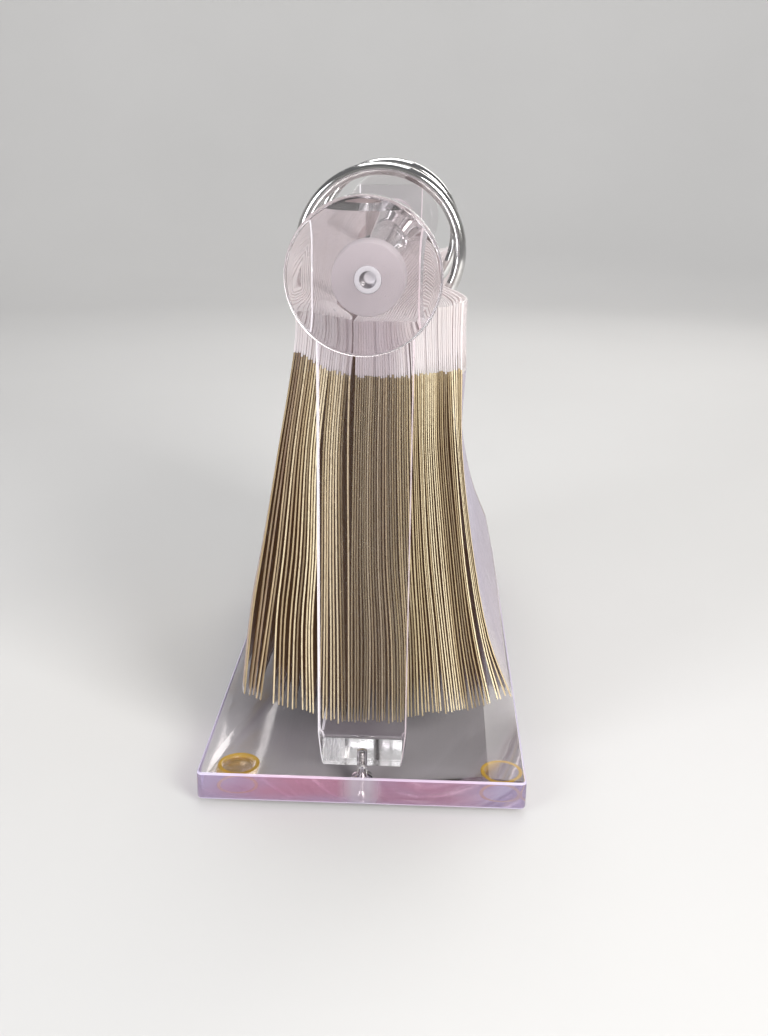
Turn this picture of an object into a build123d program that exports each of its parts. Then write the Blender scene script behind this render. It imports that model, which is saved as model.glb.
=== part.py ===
from build123d import *
import math
import os

# Rotary card file on a clear acrylic stand.
# Origin: centre of the base footprint, on the table surface under the feet.
# +Z is up, -Y is the front and +X is the right. The axle lies along Y with a
# knob at each end, and the cards hang on two chrome rings carried by the axle.

os.makedirs("parts", exist_ok=True)


def save(builder, name):
    builder.part.label = name
    export_step(builder.part, f"parts/{name}.step")


# ---------------------------------------------------------------- shared sizes
base_thickness = 11.4
foot_height = 2.5
base_z = foot_height
base_top = base_z + base_thickness

stand_half_length = 127.7   # to the outer faces of the two uprights

axle_x = 1.3
axle_z = 202.7
axle_r = 4.5

hub_gap = 1.0               # running gap between hub and upright
hub_length = 10.0
hub_inner_face = stand_half_length + hub_gap     # |y|
disc_inner_face = hub_inner_face + hub_length    # |y| of the face bonded to the hub

ring_y = 44.5
wire_r = 2.55
leg_tilt = math.radians(28.0)   # the ring's leg crosses the axle at this slope

screw_y = 122.9
screw_r = 1.95
screw_head_r = 3.9
screw_head_height = 2.2
screw_bottom = base_z + 0.3     # the head is sunk a little into the base

# ---------------------------------------------------------------- base plate
base_width = 127.0          # X
base_length = 266.7         # Y
base_corner_r = 2.5
base_edge_bevel = 0.7
base_hole_r = screw_r + 0.1
sink_r = screw_head_r + 0.25
sink_top_r = screw_r + 0.05
sink_top = screw_bottom + screw_head_height + 0.15
sink_overcut = 0.5          # the cutter starts this far below the plate


def build_base_plate():
    with BuildPart() as plate:
        with BuildSketch(Plane.XY.offset(base_z)):
            Rectangle(base_width, base_length)
        extrude(amount=base_thickness)
        fillet(plate.edges().filter_by(Axis.Z), radius=base_corner_r)
        chamfer(plate.faces().sort_by(Axis.Z)[-1].edges(), length=base_edge_bevel)
        chamfer(plate.faces().sort_by(Axis.Z)[0].edges(), length=base_edge_bevel)
        # clearance holes for the two stand screws, countersunk from below
        with BuildSketch(Plane.XY.offset(base_z)):
            with Locations((0, -screw_y), (0, screw_y)):
                Circle(base_hole_r)
        extrude(amount=base_thickness, mode=Mode.SUBTRACT)
        for y in (-screw_y, screw_y):
            with BuildSketch(Plane.XZ.offset(-y)):
                with BuildLine():
                    Polyline(
                        (0, base_z - sink_overcut),
                        (sink_r, base_z - sink_overcut),
                        (sink_r, screw_bottom),
                        (sink_top_r, sink_top),
                        (0, sink_top),
                        close=True,
                    )
                make_face()
            revolve(
                axis=Axis((0, y, 0), (0, 0, 1)), revolution_arc=360, mode=Mode.SUBTRACT
            )
    save(plate, "base_plate")


build_base_plate()

# ---------------------------------------------------------------- feet
foot_r = 16.5 / 2
foot_edge_r = 1.0
foot_places = {
    "front_left": (-49.0, -116.1),
    "front_right": (54.0, -116.1),
    "rear_left": (-51.0, 117.5),
    "rear_right": (51.5, 116.5),
}


def build_foot(name, place):
    """Low, round bumper with a softened lower edge."""
    with BuildPart() as foot:
        with BuildSketch(Plane.XY):
            with Locations(place):
                Circle(foot_r)
        extrude(amount=foot_height)
        fillet(foot.faces().sort_by(Axis.Z)[0].edges(), radius=foot_edge_r)
    save(foot, name)


for corner, place in foot_places.items():
    build_foot("foot_" + corner, place)

# ---------------------------------------------------------------- stand
strip_width = 33.7
strip_thickness = 9.5
stand_top = 221.9
bend_outer_r = 5.5
bend_inner_r = 4.0
neck_r = 45.0               # waist that forms at each bend
neck_depth = 1.7
neck_cut = 30.0             # reach of the waist cutter each way along the diagonal
axle_bore_r = axle_r + 0.06
bore_overcut = 1.0
stand_hole_r = screw_r + 0.05
stand_hole_depth = 8.0


def build_stand():
    """One strip bent to a U: two uprights and a floor strip on the base plate."""
    inner_y = stand_half_length - strip_thickness
    floor_top = base_top + strip_thickness
    with BuildPart() as stand:
        with BuildSketch(Plane.YZ.offset(-strip_width / 2)):
            with BuildLine():
                Polyline(
                    (-stand_half_length, stand_top),
                    (-stand_half_length, base_top),
                    (stand_half_length, base_top),
                    (stand_half_length, stand_top),
                    (inner_y, stand_top),
                    (inner_y, floor_top),
                    (-inner_y, floor_top),
                    (-inner_y, stand_top),
                    close=True,
                )
            make_face()
        extrude(amount=strip_width)
        fillet(stand.edges().filter_by(Axis.X).group_by(Axis.Z)[0], radius=bend_outer_r)
        inner_corners = stand.edges().filter_by(Axis.X).filter_by(
            lambda edge: abs(edge.center().Z - floor_top) < 0.1
            and abs(abs(edge.center().Y) - inner_y) < 0.1
        )
        fillet(inner_corners, radius=bend_inner_r)
        # the strip draws in at each bend, cut along the corner's diagonal
        for side in (-1, 1):
            for end in (-1, 1):
                waist = Plane(
                    origin=(
                        side * (strip_width / 2 + neck_r - neck_depth),
                        end * (stand_half_length - strip_thickness / 2),
                        base_top + strip_thickness / 2,
                    ),
                    x_dir=(1, 0, 0),
                    z_dir=(0, -end, 1),
                )
                with BuildSketch(waist):
                    Circle(neck_r)
                extrude(amount=neck_cut, both=True, mode=Mode.SUBTRACT)
        # bores for the axle through both uprights
        with BuildSketch(Plane.XZ.offset(-stand_half_length - bore_overcut)):
            with Locations((axle_x, axle_z)):
                Circle(axle_bore_r)
        extrude(amount=2 * (stand_half_length + bore_overcut), mode=Mode.SUBTRACT)
        # blind screw holes from below
        with BuildSketch(Plane.XY.offset(base_top)):
            with Locations((0, -screw_y), (0, screw_y)):
                Circle(stand_hole_r)
        extrude(amount=stand_hole_depth, mode=Mode.SUBTRACT)
    save(stand, "stand_frame")


build_stand()

# ---------------------------------------------------------------- stand screws
shank_top = base_z + 17.0
tip_bevel = 0.5
driver_slot_length = screw_head_r * 2.2     # runs out past both sides of the head
driver_slot_width = 1.0
driver_slot_depth = 1.0


def build_screw(name, y):
    with BuildPart() as screw:
        with BuildSketch(Plane.XZ.offset(-y)):
            with BuildLine():
                Polyline(
                    (0, screw_bottom),
                    (screw_head_r, screw_bottom),
                    (screw_r, screw_bottom + screw_head_height),
                    (screw_r, shank_top),
                    (screw_r - tip_bevel, shank_top + tip_bevel),
                    (0, shank_top + tip_bevel),
                    close=True,
                )
            make_face()
        revolve(axis=Axis((0, y, 0), (0, 0, 1)), revolution_arc=360)
        with BuildSketch(Plane.XY.offset(screw_bottom)):
            with Locations((0, y)):
                Rectangle(driver_slot_length, driver_slot_width)
        extrude(amount=driver_slot_depth, mode=Mode.SUBTRACT)
    save(screw, name)


build_screw("front_stand_screw", -screw_y)
build_screw("rear_stand_screw", screw_y)

# ---------------------------------------------------------------- axle
axle_half_length = disc_inner_face - 0.05   # stops just short of the discs
axle_bevel = 0.3
leg_bore_r = wire_r + 0.05
leg_bore_reach = 8.0        # cutter's reach each way from the axle's centre


def build_axle():
    with BuildPart() as axle:
        with BuildSketch(Plane.XZ.offset(-axle_half_length)):
            with Locations((axle_x, axle_z)):
                Circle(axle_r)
        extrude(amount=2 * axle_half_length)
        chamfer(axle.edges().filter_by(GeomType.CIRCLE), length=axle_bevel)
        # one cross hole for each ring's leg
        for y in (-ring_y, ring_y):
            cross = Plane(
                origin=(axle_x, y, axle_z),
                x_dir=(0, 1, 0),
                z_dir=(math.cos(leg_tilt), 0, math.sin(leg_tilt)),
            )
            with BuildSketch(cross):
                Circle(leg_bore_r)
            extrude(amount=leg_bore_reach, both=True, mode=Mode.SUBTRACT)
    save(axle, "axle_rod")


build_axle()

# ---------------------------------------------------------------- knobs
disc_r = 25.65
disc_thickness = 9.5
disc_dome_r = 195.0
disc_rim_r = 1.6
disc_bevel = 0.5
disc_x = axle_x - 1.2       # the discs are bonded slightly off the axle's centre
disc_z = axle_z + 1.2
hub_r = 11.75
hub_bore_r = axle_r + 0.03
hub_bevel = 0.4


def dome_y(radius):
    """|y| of the disc's domed face at a radius from the disc's centre."""
    sag = disc_dome_r - math.sqrt(disc_dome_r**2 - radius**2)
    return disc_inner_face + disc_thickness - sag


def rim_edges(disc):
    """Edges of the disc's full radius, from the stand outwards."""
    rims = disc.edges().filter_by(GeomType.CIRCLE).filter_by(
        lambda edge: abs(edge.radius - disc_r) < 0.01
    )
    return rims.sort_by(lambda edge: abs(edge.arc_center.Y))


def build_disc(name, side):
    """Clear disc: flat inner face, slightly domed outer face, rounded rim."""
    inner_centre = (side * disc_inner_face, disc_z)
    inner_rim = (side * disc_inner_face, disc_z + disc_r)
    outer_rim = (side * dome_y(disc_r), disc_z + disc_r)
    dome_middle = (side * dome_y(disc_r / 2), disc_z + disc_r / 2)
    outer_centre = (side * dome_y(0), disc_z)
    with BuildPart() as disc:
        with BuildSketch(Plane.YZ.offset(disc_x)):
            with BuildLine():
                Line(inner_centre, inner_rim)
                Line(inner_rim, outer_rim)
                ThreePointArc(outer_rim, dome_middle, outer_centre)
                Line(outer_centre, inner_centre)
            make_face()
        revolve(axis=Axis((disc_x, 0, disc_z), (0, 1, 0)), revolution_arc=360)
        fillet(rim_edges(disc)[-1], radius=disc_rim_r)
        chamfer(rim_edges(disc)[0], length=disc_bevel)
    save(disc, name)


def build_hub(name, side):
    """Frosted hub, bored for the axle and bonded to the disc."""
    rear_y = max(side * hub_inner_face, side * disc_inner_face)
    with BuildPart() as hub:
        with BuildSketch(Plane.XZ.offset(-rear_y)):
            with Locations((axle_x, axle_z)):
                Circle(hub_r)
                Circle(hub_bore_r, mode=Mode.SUBTRACT)
        extrude(amount=hub_length)
        outer_edges = hub.edges().filter_by(GeomType.CIRCLE).group_by(SortBy.RADIUS)[-1]
        chamfer(outer_edges, length=hub_bevel)
    save(hub, name)


for end, side in (("front", -1), ("rear", 1)):
    build_disc(end + "_knob_disc", side)
    build_hub(end + "_knob_hub", side)

# ---------------------------------------------------------------- rings
ring_r = 32.05              # centre line of the wire
leg_out = 6.0               # how far the leg's cut end stands past the axle's centre
leg_reach = 5.3             # from the axle's centre to the leg's bend
leg_bend_r = 7.2
leg_join_r = 6.0            # bend from the drop into the turn
ring_end_angle = math.radians(270 - 22.6)   # free end, left of straight down
ring_bevel = 0.4


def polar(centre, radius, angle):
    return (centre[0] + radius * math.cos(angle), centre[1] + radius * math.sin(angle))


def at(point):
    """Turn (x, z) from the axle's centre into model coordinates."""
    return (axle_x + point[0], axle_z + point[1])


def build_ring(name, y):
    """One chromed rod: a short leg through the axle, a drop, and then a turn
    about the axle whose free end closes against the leg."""
    # leg direction, down and to the left
    leg_dx, leg_dz = -math.cos(leg_tilt), -math.sin(leg_tilt)
    leg_start = (-leg_out * leg_dx, -leg_out * leg_dz)
    bend_start = (leg_reach * leg_dx, leg_reach * leg_dz)
    bend_centre = (bend_start[0] - leg_bend_r * leg_dz, bend_start[1] + leg_bend_r * leg_dx)
    bend_angle = math.atan2(bend_start[1] - bend_centre[1], bend_start[0] - bend_centre[0])
    bend_middle = polar(bend_centre, leg_bend_r, (bend_angle + math.pi) / 2)
    drop_x = bend_centre[0] - leg_bend_r
    bend_end = (drop_x, bend_centre[1])
    # the join is tangent to the drop and, from inside, to the ring's circle
    join_x = drop_x + leg_join_r
    join_z = -math.sqrt((ring_r - leg_join_r) ** 2 - join_x**2)
    join_angle = math.atan2(join_z, join_x) + 2 * math.pi
    join_start = (drop_x, join_z)
    join_middle = polar((join_x, join_z), leg_join_r, (math.pi + join_angle) / 2)
    join_end = polar((0, 0), ring_r, join_angle)
    ring_end = polar((0, 0), ring_r, ring_end_angle)
    ring_top = (0, ring_r)

    with BuildPart() as ring:
        with BuildLine(Plane.XZ.offset(-y)) as path:
            Line(at(leg_start), at(bend_start))
            ThreePointArc(at(bend_start), at(bend_middle), at(bend_end))
            Line(at(bend_end), at(join_start))
            ThreePointArc(at(join_start), at(join_middle), at(join_end))
            ThreePointArc(at(join_end), at((ring_r, 0)), at(ring_top))
            ThreePointArc(at(ring_top), at((-ring_r, 0)), at(ring_end))
        start_x, start_z = at(leg_start)
        wire_plane = Plane(
            origin=(start_x, y, start_z), x_dir=(0, 1, 0), z_dir=(leg_dx, 0, leg_dz)
        )
        with BuildSketch(wire_plane):
            Circle(wire_r)
        sweep(path=path.wires()[0])
        chamfer(ring.faces().filter_by(GeomType.PLANE).edges(), length=ring_bevel)
    save(ring, name)


build_ring("front_ring", -ring_y)
build_ring("rear_ring", ring_y)

# ---------------------------------------------------------------- cards
# Every card is a clear sleeve with a welded header strip, and a paper insert in
# its pocket.
card_half_length = 110.0
film = 0.07                 # sleeve film
header_t = 0.30             # welded header strip
insert_t = 0.28
pocket_t = 0.32
sleeve_t = pocket_t + 2 * film
pocket_front_wall = 1.5
insert_rear_gap = 1.0       # from the sleeve's rear end
insert_front_gap = 3.0      # from the sleeve's front end
slot_r_in = 27.7            # ring slots in the header strips
slot_r_out = 35.7
slot_width = 8.4
edge_jitter = 0.45          # the lower edges don't line up exactly
jitter_step = 2.4           # radians from card to card

# Fractions of the sheet's top and bottom segments.
sleeve_shoulder = 0.03      # where the sleeve reaches its full thickness
pocket_ends = (0.045, 0.05)     # pocket's top and bottom
insert_ends = (0.06, 0.065)     # insert's top and bottom

# group: (cards, sag of the middle cards' lower edges, first card, last card)
# A card's profile is (x, z) at the header's top, the ring level, the pocket's
# top, three points down the sheet and the lower edge. The first and last cards
# are a group's outermost; those between them are spread evenly.
card_groups = {
    "left": (
        24, 1.5,
        [(-20.4, 191.0), (-20.9, 181.0), (-25.0, 169.5),
         (-31.5, 137.0), (-38.5, 97.0), (-42.8, 72.0), (-46.9, 36.5)],
        [(-11.5, 188.0), (-11.3, 177.5), (-8.8, 167.0),
         (-6.8, 137.0), (-6.1, 94.0), (-5.6, 61.0), (-5.3, 27.3)],
    ),
    "middle": (
        24, 0.2,
        [(-3.2, 187.5), (-3.3, 177.0), (-3.6, 166.2),
         (-4.2, 137.0), (-4.6, 94.0), (-4.6, 61.0), (-4.5, 27.5)],
        [(10.6, 187.8), (11.2, 177.5), (15.0, 166.7),
         (16.2, 137.8), (18.6, 94.8), (21.0, 65.0), (23.5, 29.0)],
    ),
    "right": (
        21, 0.8,
        [(11.6, 188.0), (12.2, 178.0), (16.2, 167.0),
         (17.4, 137.8), (19.8, 94.8), (22.3, 65.0), (24.9, 30.0)],
        [(22.0, 190.5), (22.8, 181.0), (29.6, 168.5),
         (32.6, 138.2), (37.5, 95.4), (42.8, 65.0), (49.9, 35.5)],
    ),
    "outer": (
        4, 0.0,
        [(22.9, 191.0), (23.7, 181.5), (30.6, 169.0),
         (33.6, 138.2), (39.4, 95.4), (45.2, 65.0), (52.8, 37.0)],
        [(24.7, 192.0), (25.7, 182.5), (33.0, 169.5),
         (35.2, 138.2), (41.5, 95.4), (48.1, 65.0), (58.0, 39.6)],
    ),
}


def between(start, end, fraction):
    return (
        start[0] + (end[0] - start[0]) * fraction,
        start[1] + (end[1] - start[1]) * fraction,
    )


def centre_line(first, last, index, count, sag):
    """Centre line of one card in a group."""
    share = index / (count - 1)
    points = [between(start, end, share) for start, end in zip(first, last)]
    x, z = points[-1]
    z -= sag * (1 - (2 * share - 1) ** 2)
    z += edge_jitter * math.sin(jitter_step * index)
    points[-1] = (x, z)
    return points


def outline(points, widths):
    """Closed outline of a thin sheet about its centre line."""
    one_side = []
    other_side = []
    for i, ((x, z), width) in enumerate(zip(points, widths)):
        before = points[max(i - 1, 0)]
        after = points[min(i + 1, len(points) - 1)]
        dx, dz = after[0] - before[0], after[1] - before[1]
        scale = width / 2 / math.hypot(dx, dz)
        one_side.append((x - dz * scale, z + dx * scale))
        other_side.append((x + dz * scale, z - dx * scale))
    return one_side + other_side[::-1]


def sleeve_outline(line):
    shoulder = between(line[2], line[3], sleeve_shoulder)
    return outline(line[:3] + [shoulder] + line[3:], [header_t] * 3 + [sleeve_t] * 5)


def sheet_outline(line, ends, thickness):
    """Outline of the part of a card below its header, drawn in at both ends."""
    top = between(line[2], line[3], ends[0])
    bottom = between(line[-1], line[-2], ends[1])
    return outline([top] + line[3:-1] + [bottom], [thickness] * 5)


def build_sleeves(name, lines):
    with BuildPart() as sleeves:
        with BuildSketch(Plane.XZ.offset(-card_half_length)):
            for line in lines:
                with BuildLine():
                    Polyline(*sleeve_outline(line), close=True)
                make_face()
        extrude(amount=2 * card_half_length)
        # pockets, open at the rear end
        with BuildSketch(Plane.XZ.offset(-card_half_length)):
            for line in lines:
                with BuildLine():
                    Polyline(*sheet_outline(line, pocket_ends, pocket_t), close=True)
                make_face()
        extrude(amount=2 * card_half_length - pocket_front_wall, mode=Mode.SUBTRACT)
        # ring slots
        for y in (-ring_y, ring_y):
            with BuildSketch(Plane.XZ.offset(-y - slot_width / 2)):
                with Locations((axle_x, axle_z)):
                    Circle(slot_r_out)
                    Circle(slot_r_in, mode=Mode.SUBTRACT)
            extrude(amount=slot_width, mode=Mode.SUBTRACT)
    save(sleeves, name)


def build_inserts(name, lines):
    with BuildPart() as inserts:
        with BuildSketch(Plane.XZ.offset(-card_half_length + insert_rear_gap)):
            for line in lines:
                with BuildLine():
                    Polyline(*sheet_outline(line, insert_ends, insert_t), close=True)
                make_face()
        extrude(amount=2 * card_half_length - insert_rear_gap - insert_front_gap)
    save(inserts, name)


for group, (count, sag, first, last) in card_groups.items():
    lines = [centre_line(first, last, index, count, sag) for index in range(count)]
    build_sleeves(group + "_sleeves", lines)
    build_inserts(group + "_inserts", lines)
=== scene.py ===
"""A rotary card file: sleeved cards hang from two chrome rings on an axle in a clear acrylic stand.

X points right, Y from the front knob to the rear knob, and Z up. The plate's centre is at
X = Y = 0 and its feet stand on Z = 0. Sizes are in mm and become metres in make(). Lights,
camera and shader coordinates are in metres.
"""
import math
import random

import bmesh
import bpy
import numpy as np
from mathutils import Matrix, Vector


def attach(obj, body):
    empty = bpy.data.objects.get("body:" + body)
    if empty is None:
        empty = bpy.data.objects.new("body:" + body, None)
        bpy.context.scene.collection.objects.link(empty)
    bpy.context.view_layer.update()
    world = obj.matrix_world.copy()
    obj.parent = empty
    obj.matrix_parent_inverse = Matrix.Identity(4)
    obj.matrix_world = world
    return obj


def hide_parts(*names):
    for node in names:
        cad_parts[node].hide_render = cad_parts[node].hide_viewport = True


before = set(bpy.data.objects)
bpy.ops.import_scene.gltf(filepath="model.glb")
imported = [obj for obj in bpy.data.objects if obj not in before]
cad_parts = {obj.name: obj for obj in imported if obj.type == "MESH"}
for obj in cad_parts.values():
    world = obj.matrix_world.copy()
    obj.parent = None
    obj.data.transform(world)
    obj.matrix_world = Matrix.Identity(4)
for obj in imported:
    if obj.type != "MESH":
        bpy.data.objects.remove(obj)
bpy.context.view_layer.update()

MM = 0.001

# Dimensions shared between pieces, mm
AXLE_X, AXLE_Z = 1.3, 202.7
PLATE_BOTTOM, PLATE_TOP = 2.5, 13.9
SCREW_Y = 122.9                    # the screws stand at -Y and +Y, at X = 0
RING_Y = 44.5                      # the rings, likewise
LEG_TILT = math.radians(28.0)      # slope of the ring legs where they cross the axle


# ------------------------------------------------------------------ node helper
class Net:
    """A node material, with a short method for each common kind of node."""

    def __init__(self, name):
        self.mat = bpy.data.materials.new(name)
        self.mat.use_nodes = True
        self.tree = self.mat.node_tree
        self.tree.nodes.clear()
        self.out = self.tree.nodes.new("ShaderNodeOutputMaterial")

    def add(self, kind, props=None, **inputs):
        """Adds a node. Underscores in input names stand for spaces."""
        node = self.tree.nodes.new(kind)
        for key, value in (props or {}).items():
            setattr(node, key, value)
        for key, value in inputs.items():
            self.set(node, key.replace("_", " "), value)
        return node

    def set(self, node, key, value):
        """Links or sets an input, given by name or index."""
        socket = node.inputs[key]
        if isinstance(value, bpy.types.NodeSocket):
            self.tree.links.new(value, socket)
        elif isinstance(value, (tuple, list)) and len(value) == 3 and socket.type == "RGBA":
            socket.default_value = (*value, 1.0)
        else:
            socket.default_value = value

    def join(self, node, *values):
        """Sets a node's first inputs in order."""
        for index, value in enumerate(values):
            self.set(node, index, value)
        return node.outputs[0]

    def calc(self, operation, first, second=0.0, clamp=False):
        node = self.add("ShaderNodeMath", {"operation": operation, "use_clamp": clamp})
        return self.join(node, first, second)

    def times(self, value, by):
        return self.calc("MULTIPLY", value, by)

    def plus(self, first, second, clamp=False):
        return self.calc("ADD", first, second, clamp)

    def minus(self, value, less):
        return self.calc("SUBTRACT", value, less)

    def ramp(self, fac, stops):
        node = self.add("ShaderNodeValToRGB", Fac=fac)
        elements = node.color_ramp.elements
        while len(elements) > 1:
            elements.remove(elements[-1])
        for i, (position, colour) in enumerate(stops):
            element = elements[0] if i == 0 else elements.new(position)
            element.position = position
            element.color = (*colour, 1.0)
        return node.outputs["Color"]

    def mix(self, fac, first, second):
        """Mixes colours; 0 gives the first and 1 the second."""
        node = self.add("ShaderNodeMix", {"data_type": "RGBA", "blend_type": "MIX"})
        for index, value in ((0, fac), (6, first), (7, second)):
            self.set(node, index, value)
        return node.outputs[2]

    def mix_shader(self, fac, first, second):
        return self.join(self.add("ShaderNodeMixShader"), fac, first, second)

    def noise(self, coord, scale=1.0, detail=3.0, rough=0.5, distort=0.0, stretch=None):
        """Noise; stretch gives a separate frequency to each axis."""
        if stretch:
            coord = self.add("ShaderNodeMapping", Vector=coord, Scale=stretch).outputs[0]
        return self.add("ShaderNodeTexNoise", Vector=coord, Scale=scale, Detail=detail,
                        Roughness=rough, Distortion=distort).outputs["Fac"]

    def coords(self, kind="Object"):
        return self.add("ShaderNodeTexCoord").outputs[kind]

    def split(self, vector):
        return self.add("ShaderNodeSeparateXYZ", Vector=vector).outputs

    def island(self):
        """A random number for each card."""
        return self.add("ShaderNodeNewGeometry").outputs["Random Per Island"]

    def card_uv(self, island):
        """Flat sheet coordinates, shifted by a different amount for every card."""
        shift = self.add("ShaderNodeCombineXYZ", Z=self.times(island, by=40.0))
        node = self.add("ShaderNodeVectorMath", {"operation": "ADD"})
        return self.join(node, self.coords("UV"), shift.outputs[0])

    def bump(self, height, strength, distance, normal=None):
        node = self.add("ShaderNodeBump", Height=height, Strength=strength, Distance=distance)
        if normal is not None:
            self.set(node, "Normal", normal)
        return node.outputs[0]

    def remap(self, value, span, to=(0.0, 1.0)):
        """Maps the span's two ends onto the two values of to."""
        return self.add("ShaderNodeMapRange", Value=value, From_Min=span[0], From_Max=span[1],
                        To_Min=to[0], To_Max=to[1]).outputs[0]

    def bsdf(self, kind, **inputs):
        return self.add("ShaderNodeBsdf" + kind, **inputs).outputs[0]

    def fresnel(self, ior, normal):
        return self.add("ShaderNodeFresnel", IOR=ior, Normal=normal).outputs[0]

    def done(self, shader):
        self.tree.links.new(shader, self.out.inputs["Surface"])
        return self.mat

    def done_clear(self, shader, tint, share):
        """Finishes a clear material: a share of the lamps' light passes it, tinted."""
        shadow = self.add("ShaderNodeLightPath").outputs["Is Shadow Ray"]
        clear = self.bsdf("Transparent", Color=tint)
        return self.done(self.mix_shader(self.times(shadow, share), shader, clear))


# ------------------------------------------------------------------ materials
def acrylic(name, tint=(0.975, 0.965, 0.975), rough=0.015, dust=0.5, gleam=0.5):
    """Polished acrylic: faint waves, fine scratches and a little dust.

    gleam scales the reflections seen face on.
    """
    net = Net(name)
    place = net.coords()
    wave = net.noise(place, scale=26.0, detail=2.0)
    along_x = net.noise(place, stretch=(60, 2600, 900), detail=2.0, rough=0.6)
    along_y = net.noise(place, stretch=(2300, 70, 900), detail=2.0, rough=0.6)
    scratch = net.calc("MAXIMUM", net.remap(along_x, span=(0.66, 0.72)),
                       net.remap(along_y, span=(0.68, 0.74)))
    patch = net.noise(place, scale=45.0, detail=4.0)
    scratch = net.times(scratch, net.remap(patch, span=(0.5, 0.7)))
    speck = net.remap(net.noise(place, scale=1500.0, detail=1.0), span=(0.74, 0.80),
                      to=(0.0, dust))
    roughness = net.plus(net.remap(patch, span=(0.3, 0.75), to=(rough, rough + 0.035)),
                         net.times(scratch, by=0.18), clamp=True)
    dimmer = tuple(channel * 0.965 for channel in tint)
    colour = net.mix(net.remap(wave, span=(0.35, 0.7)), tint, dimmer)
    normal = net.bump(wave, strength=0.02, distance=0.002)
    normal = net.bump(scratch, strength=0.05, distance=0.0002, normal=normal)
    bend = net.bsdf("Refraction", Color=colour, Roughness=roughness, IOR=1.49, Normal=normal)
    shine = net.bsdf("Glossy", Color=(1, 1, 1), Roughness=roughness, Normal=normal)
    fresnel = net.fresnel(ior=1.49, normal=normal)
    mirror = net.times(fresnel, net.remap(fresnel, span=(0.10, 0.60), to=(gleam, 1.0)))
    glass = net.mix_shader(mirror, bend, shine)
    dusty = net.bsdf("Diffuse", Color=(0.85, 0.84, 0.83))
    shader = net.mix_shader(net.times(speck, by=0.35), glass, dusty)
    return net.done_clear(shader, tint=(0.93, 0.915, 0.93), share=0.92)


def acrylic_edge(name, pink=(0.45, 0.165, 0.275), lavender=(0.36, 0.29, 0.47), body=0.42,
                 painted_glow=0.0):
    """A cut and polished edge with faint cutter lines; its pink and lavender are painted light,
    piped in from warm surroundings.

    body is the share of solid colour against clear glass; the last argument sets a painted glow
    that stands for light gathered in the edge.
    """
    net = Net(name)
    place = net.coords()
    axes = net.split(place)
    across = net.calc("ABSOLUTE", axes[0])
    soft = net.noise(place, stretch=(22, 9, 60))
    # painted piped light: pink in the middle of the edge, lavender towards the corners
    corner = net.plus(net.remap(across, span=(0.034, 0.062)),
                      net.remap(soft, span=(0.35, 0.7), to=(-0.30, 0.40)), clamp=True)
    # painted piped light: a paler grey band in the middle of the edge, where the strip's light
    # shows through
    centre = net.remap(across, span=(0.003, 0.009), to=(1.0, 0.0))
    grey = (0.58, 0.56, 0.62)
    colour = net.mix(corner, pink, lavender)
    colour = net.mix(net.times(centre, by=0.7), colour, grey)
    # painted piped light: more lavender towards the underside of the plate
    height = net.remap(axes[2], span=(PLATE_BOTTOM * MM, PLATE_TOP * MM))
    height = net.plus(height, net.remap(soft, span=(0.3, 0.7), to=(-0.2, 0.2)))
    colour = net.mix(net.remap(height, span=(0.0, 0.35), to=(0.6, 0.0)), colour, lavender)
    lines = net.noise(place, stretch=(260, 260, 30), detail=2.0)
    finish = {"Normal": net.bump(lines, strength=0.04, distance=0.0004),
              "Roughness": net.remap(lines, span=(0.3, 0.7), to=(0.06, 0.15))}
    clear = (0.98, 0.95, 0.98)
    glass = net.bsdf("Principled", Base_Color=net.mix(0.70, clear, colour), IOR=1.49,
                     Transmission_Weight=1.0, **finish)
    # painted glow: the edge gives off a little light of its own, standing for light gathered in the
    # acrylic
    if painted_glow:
        bright, dim = (1.0, 0.98, 1.0), (0.90, 0.86, 0.95)
        finish["Emission_Color"] = net.mix(net.remap(lines, span=(0.3, 0.7)), bright, dim)
        finish["Emission_Strength"] = painted_glow
    solid = net.bsdf("Principled", Base_Color=colour, Coat_Weight=0.3, **finish)
    shader = net.mix_shader(body, glass, solid)
    return net.done_clear(shader, tint=(0.88, 0.80, 0.86), share=0.7)


def rod_end(name):
    """The axle's turned end: satin white, with painted shade in its dimpled centre and a painted
    shadow at one side.
    """
    net = Net(name)
    place = net.coords()
    axes = net.split(place)

    def distance(x, z):
        return net.calc("SQRT", net.plus(net.times(x, x), net.times(z, z)))

    from_x = net.minus(axes[0], AXLE_X * MM)
    from_z = net.minus(axes[2], AXLE_Z * MM)
    radius = distance(from_x, from_z)
    shade_offset = 0.0007    # the light spot lies up and to the right of the centre
    off_centre = distance(net.minus(from_x, shade_offset), net.minus(from_z, shade_offset))
    # painted shadow: a dark crescent at the lower left of the dimple
    dark = net.times(net.remap(radius, span=(0.0029, 0.0026)),
                     net.remap(off_centre, span=(0.0017, 0.0022)))
    turned = net.noise(place, stretch=(900, 4000, 900), detail=2.0)
    white, grey = (0.93, 0.93, 0.95), (0.82, 0.81, 0.84)
    centre, shade = (0.70, 0.66, 0.68), (0.10, 0.09, 0.10)
    colour = net.mix(net.remap(turned, span=(0.3, 0.7)), white, grey)
    # painted shade: darker towards the middle of the dimple
    colour = net.mix(net.remap(radius, span=(0.0024, 0.0020), to=(0.0, 0.35)), colour, centre)
    colour = net.mix(net.times(dark, by=0.9), colour, shade)
    return net.done(net.bsdf(
        "Principled", Base_Color=colour,
        Roughness=net.remap(turned, span=(0.3, 0.7), to=(0.22, 0.36)),
        Normal=net.bump(turned, strength=0.05, distance=0.0002)))


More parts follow.
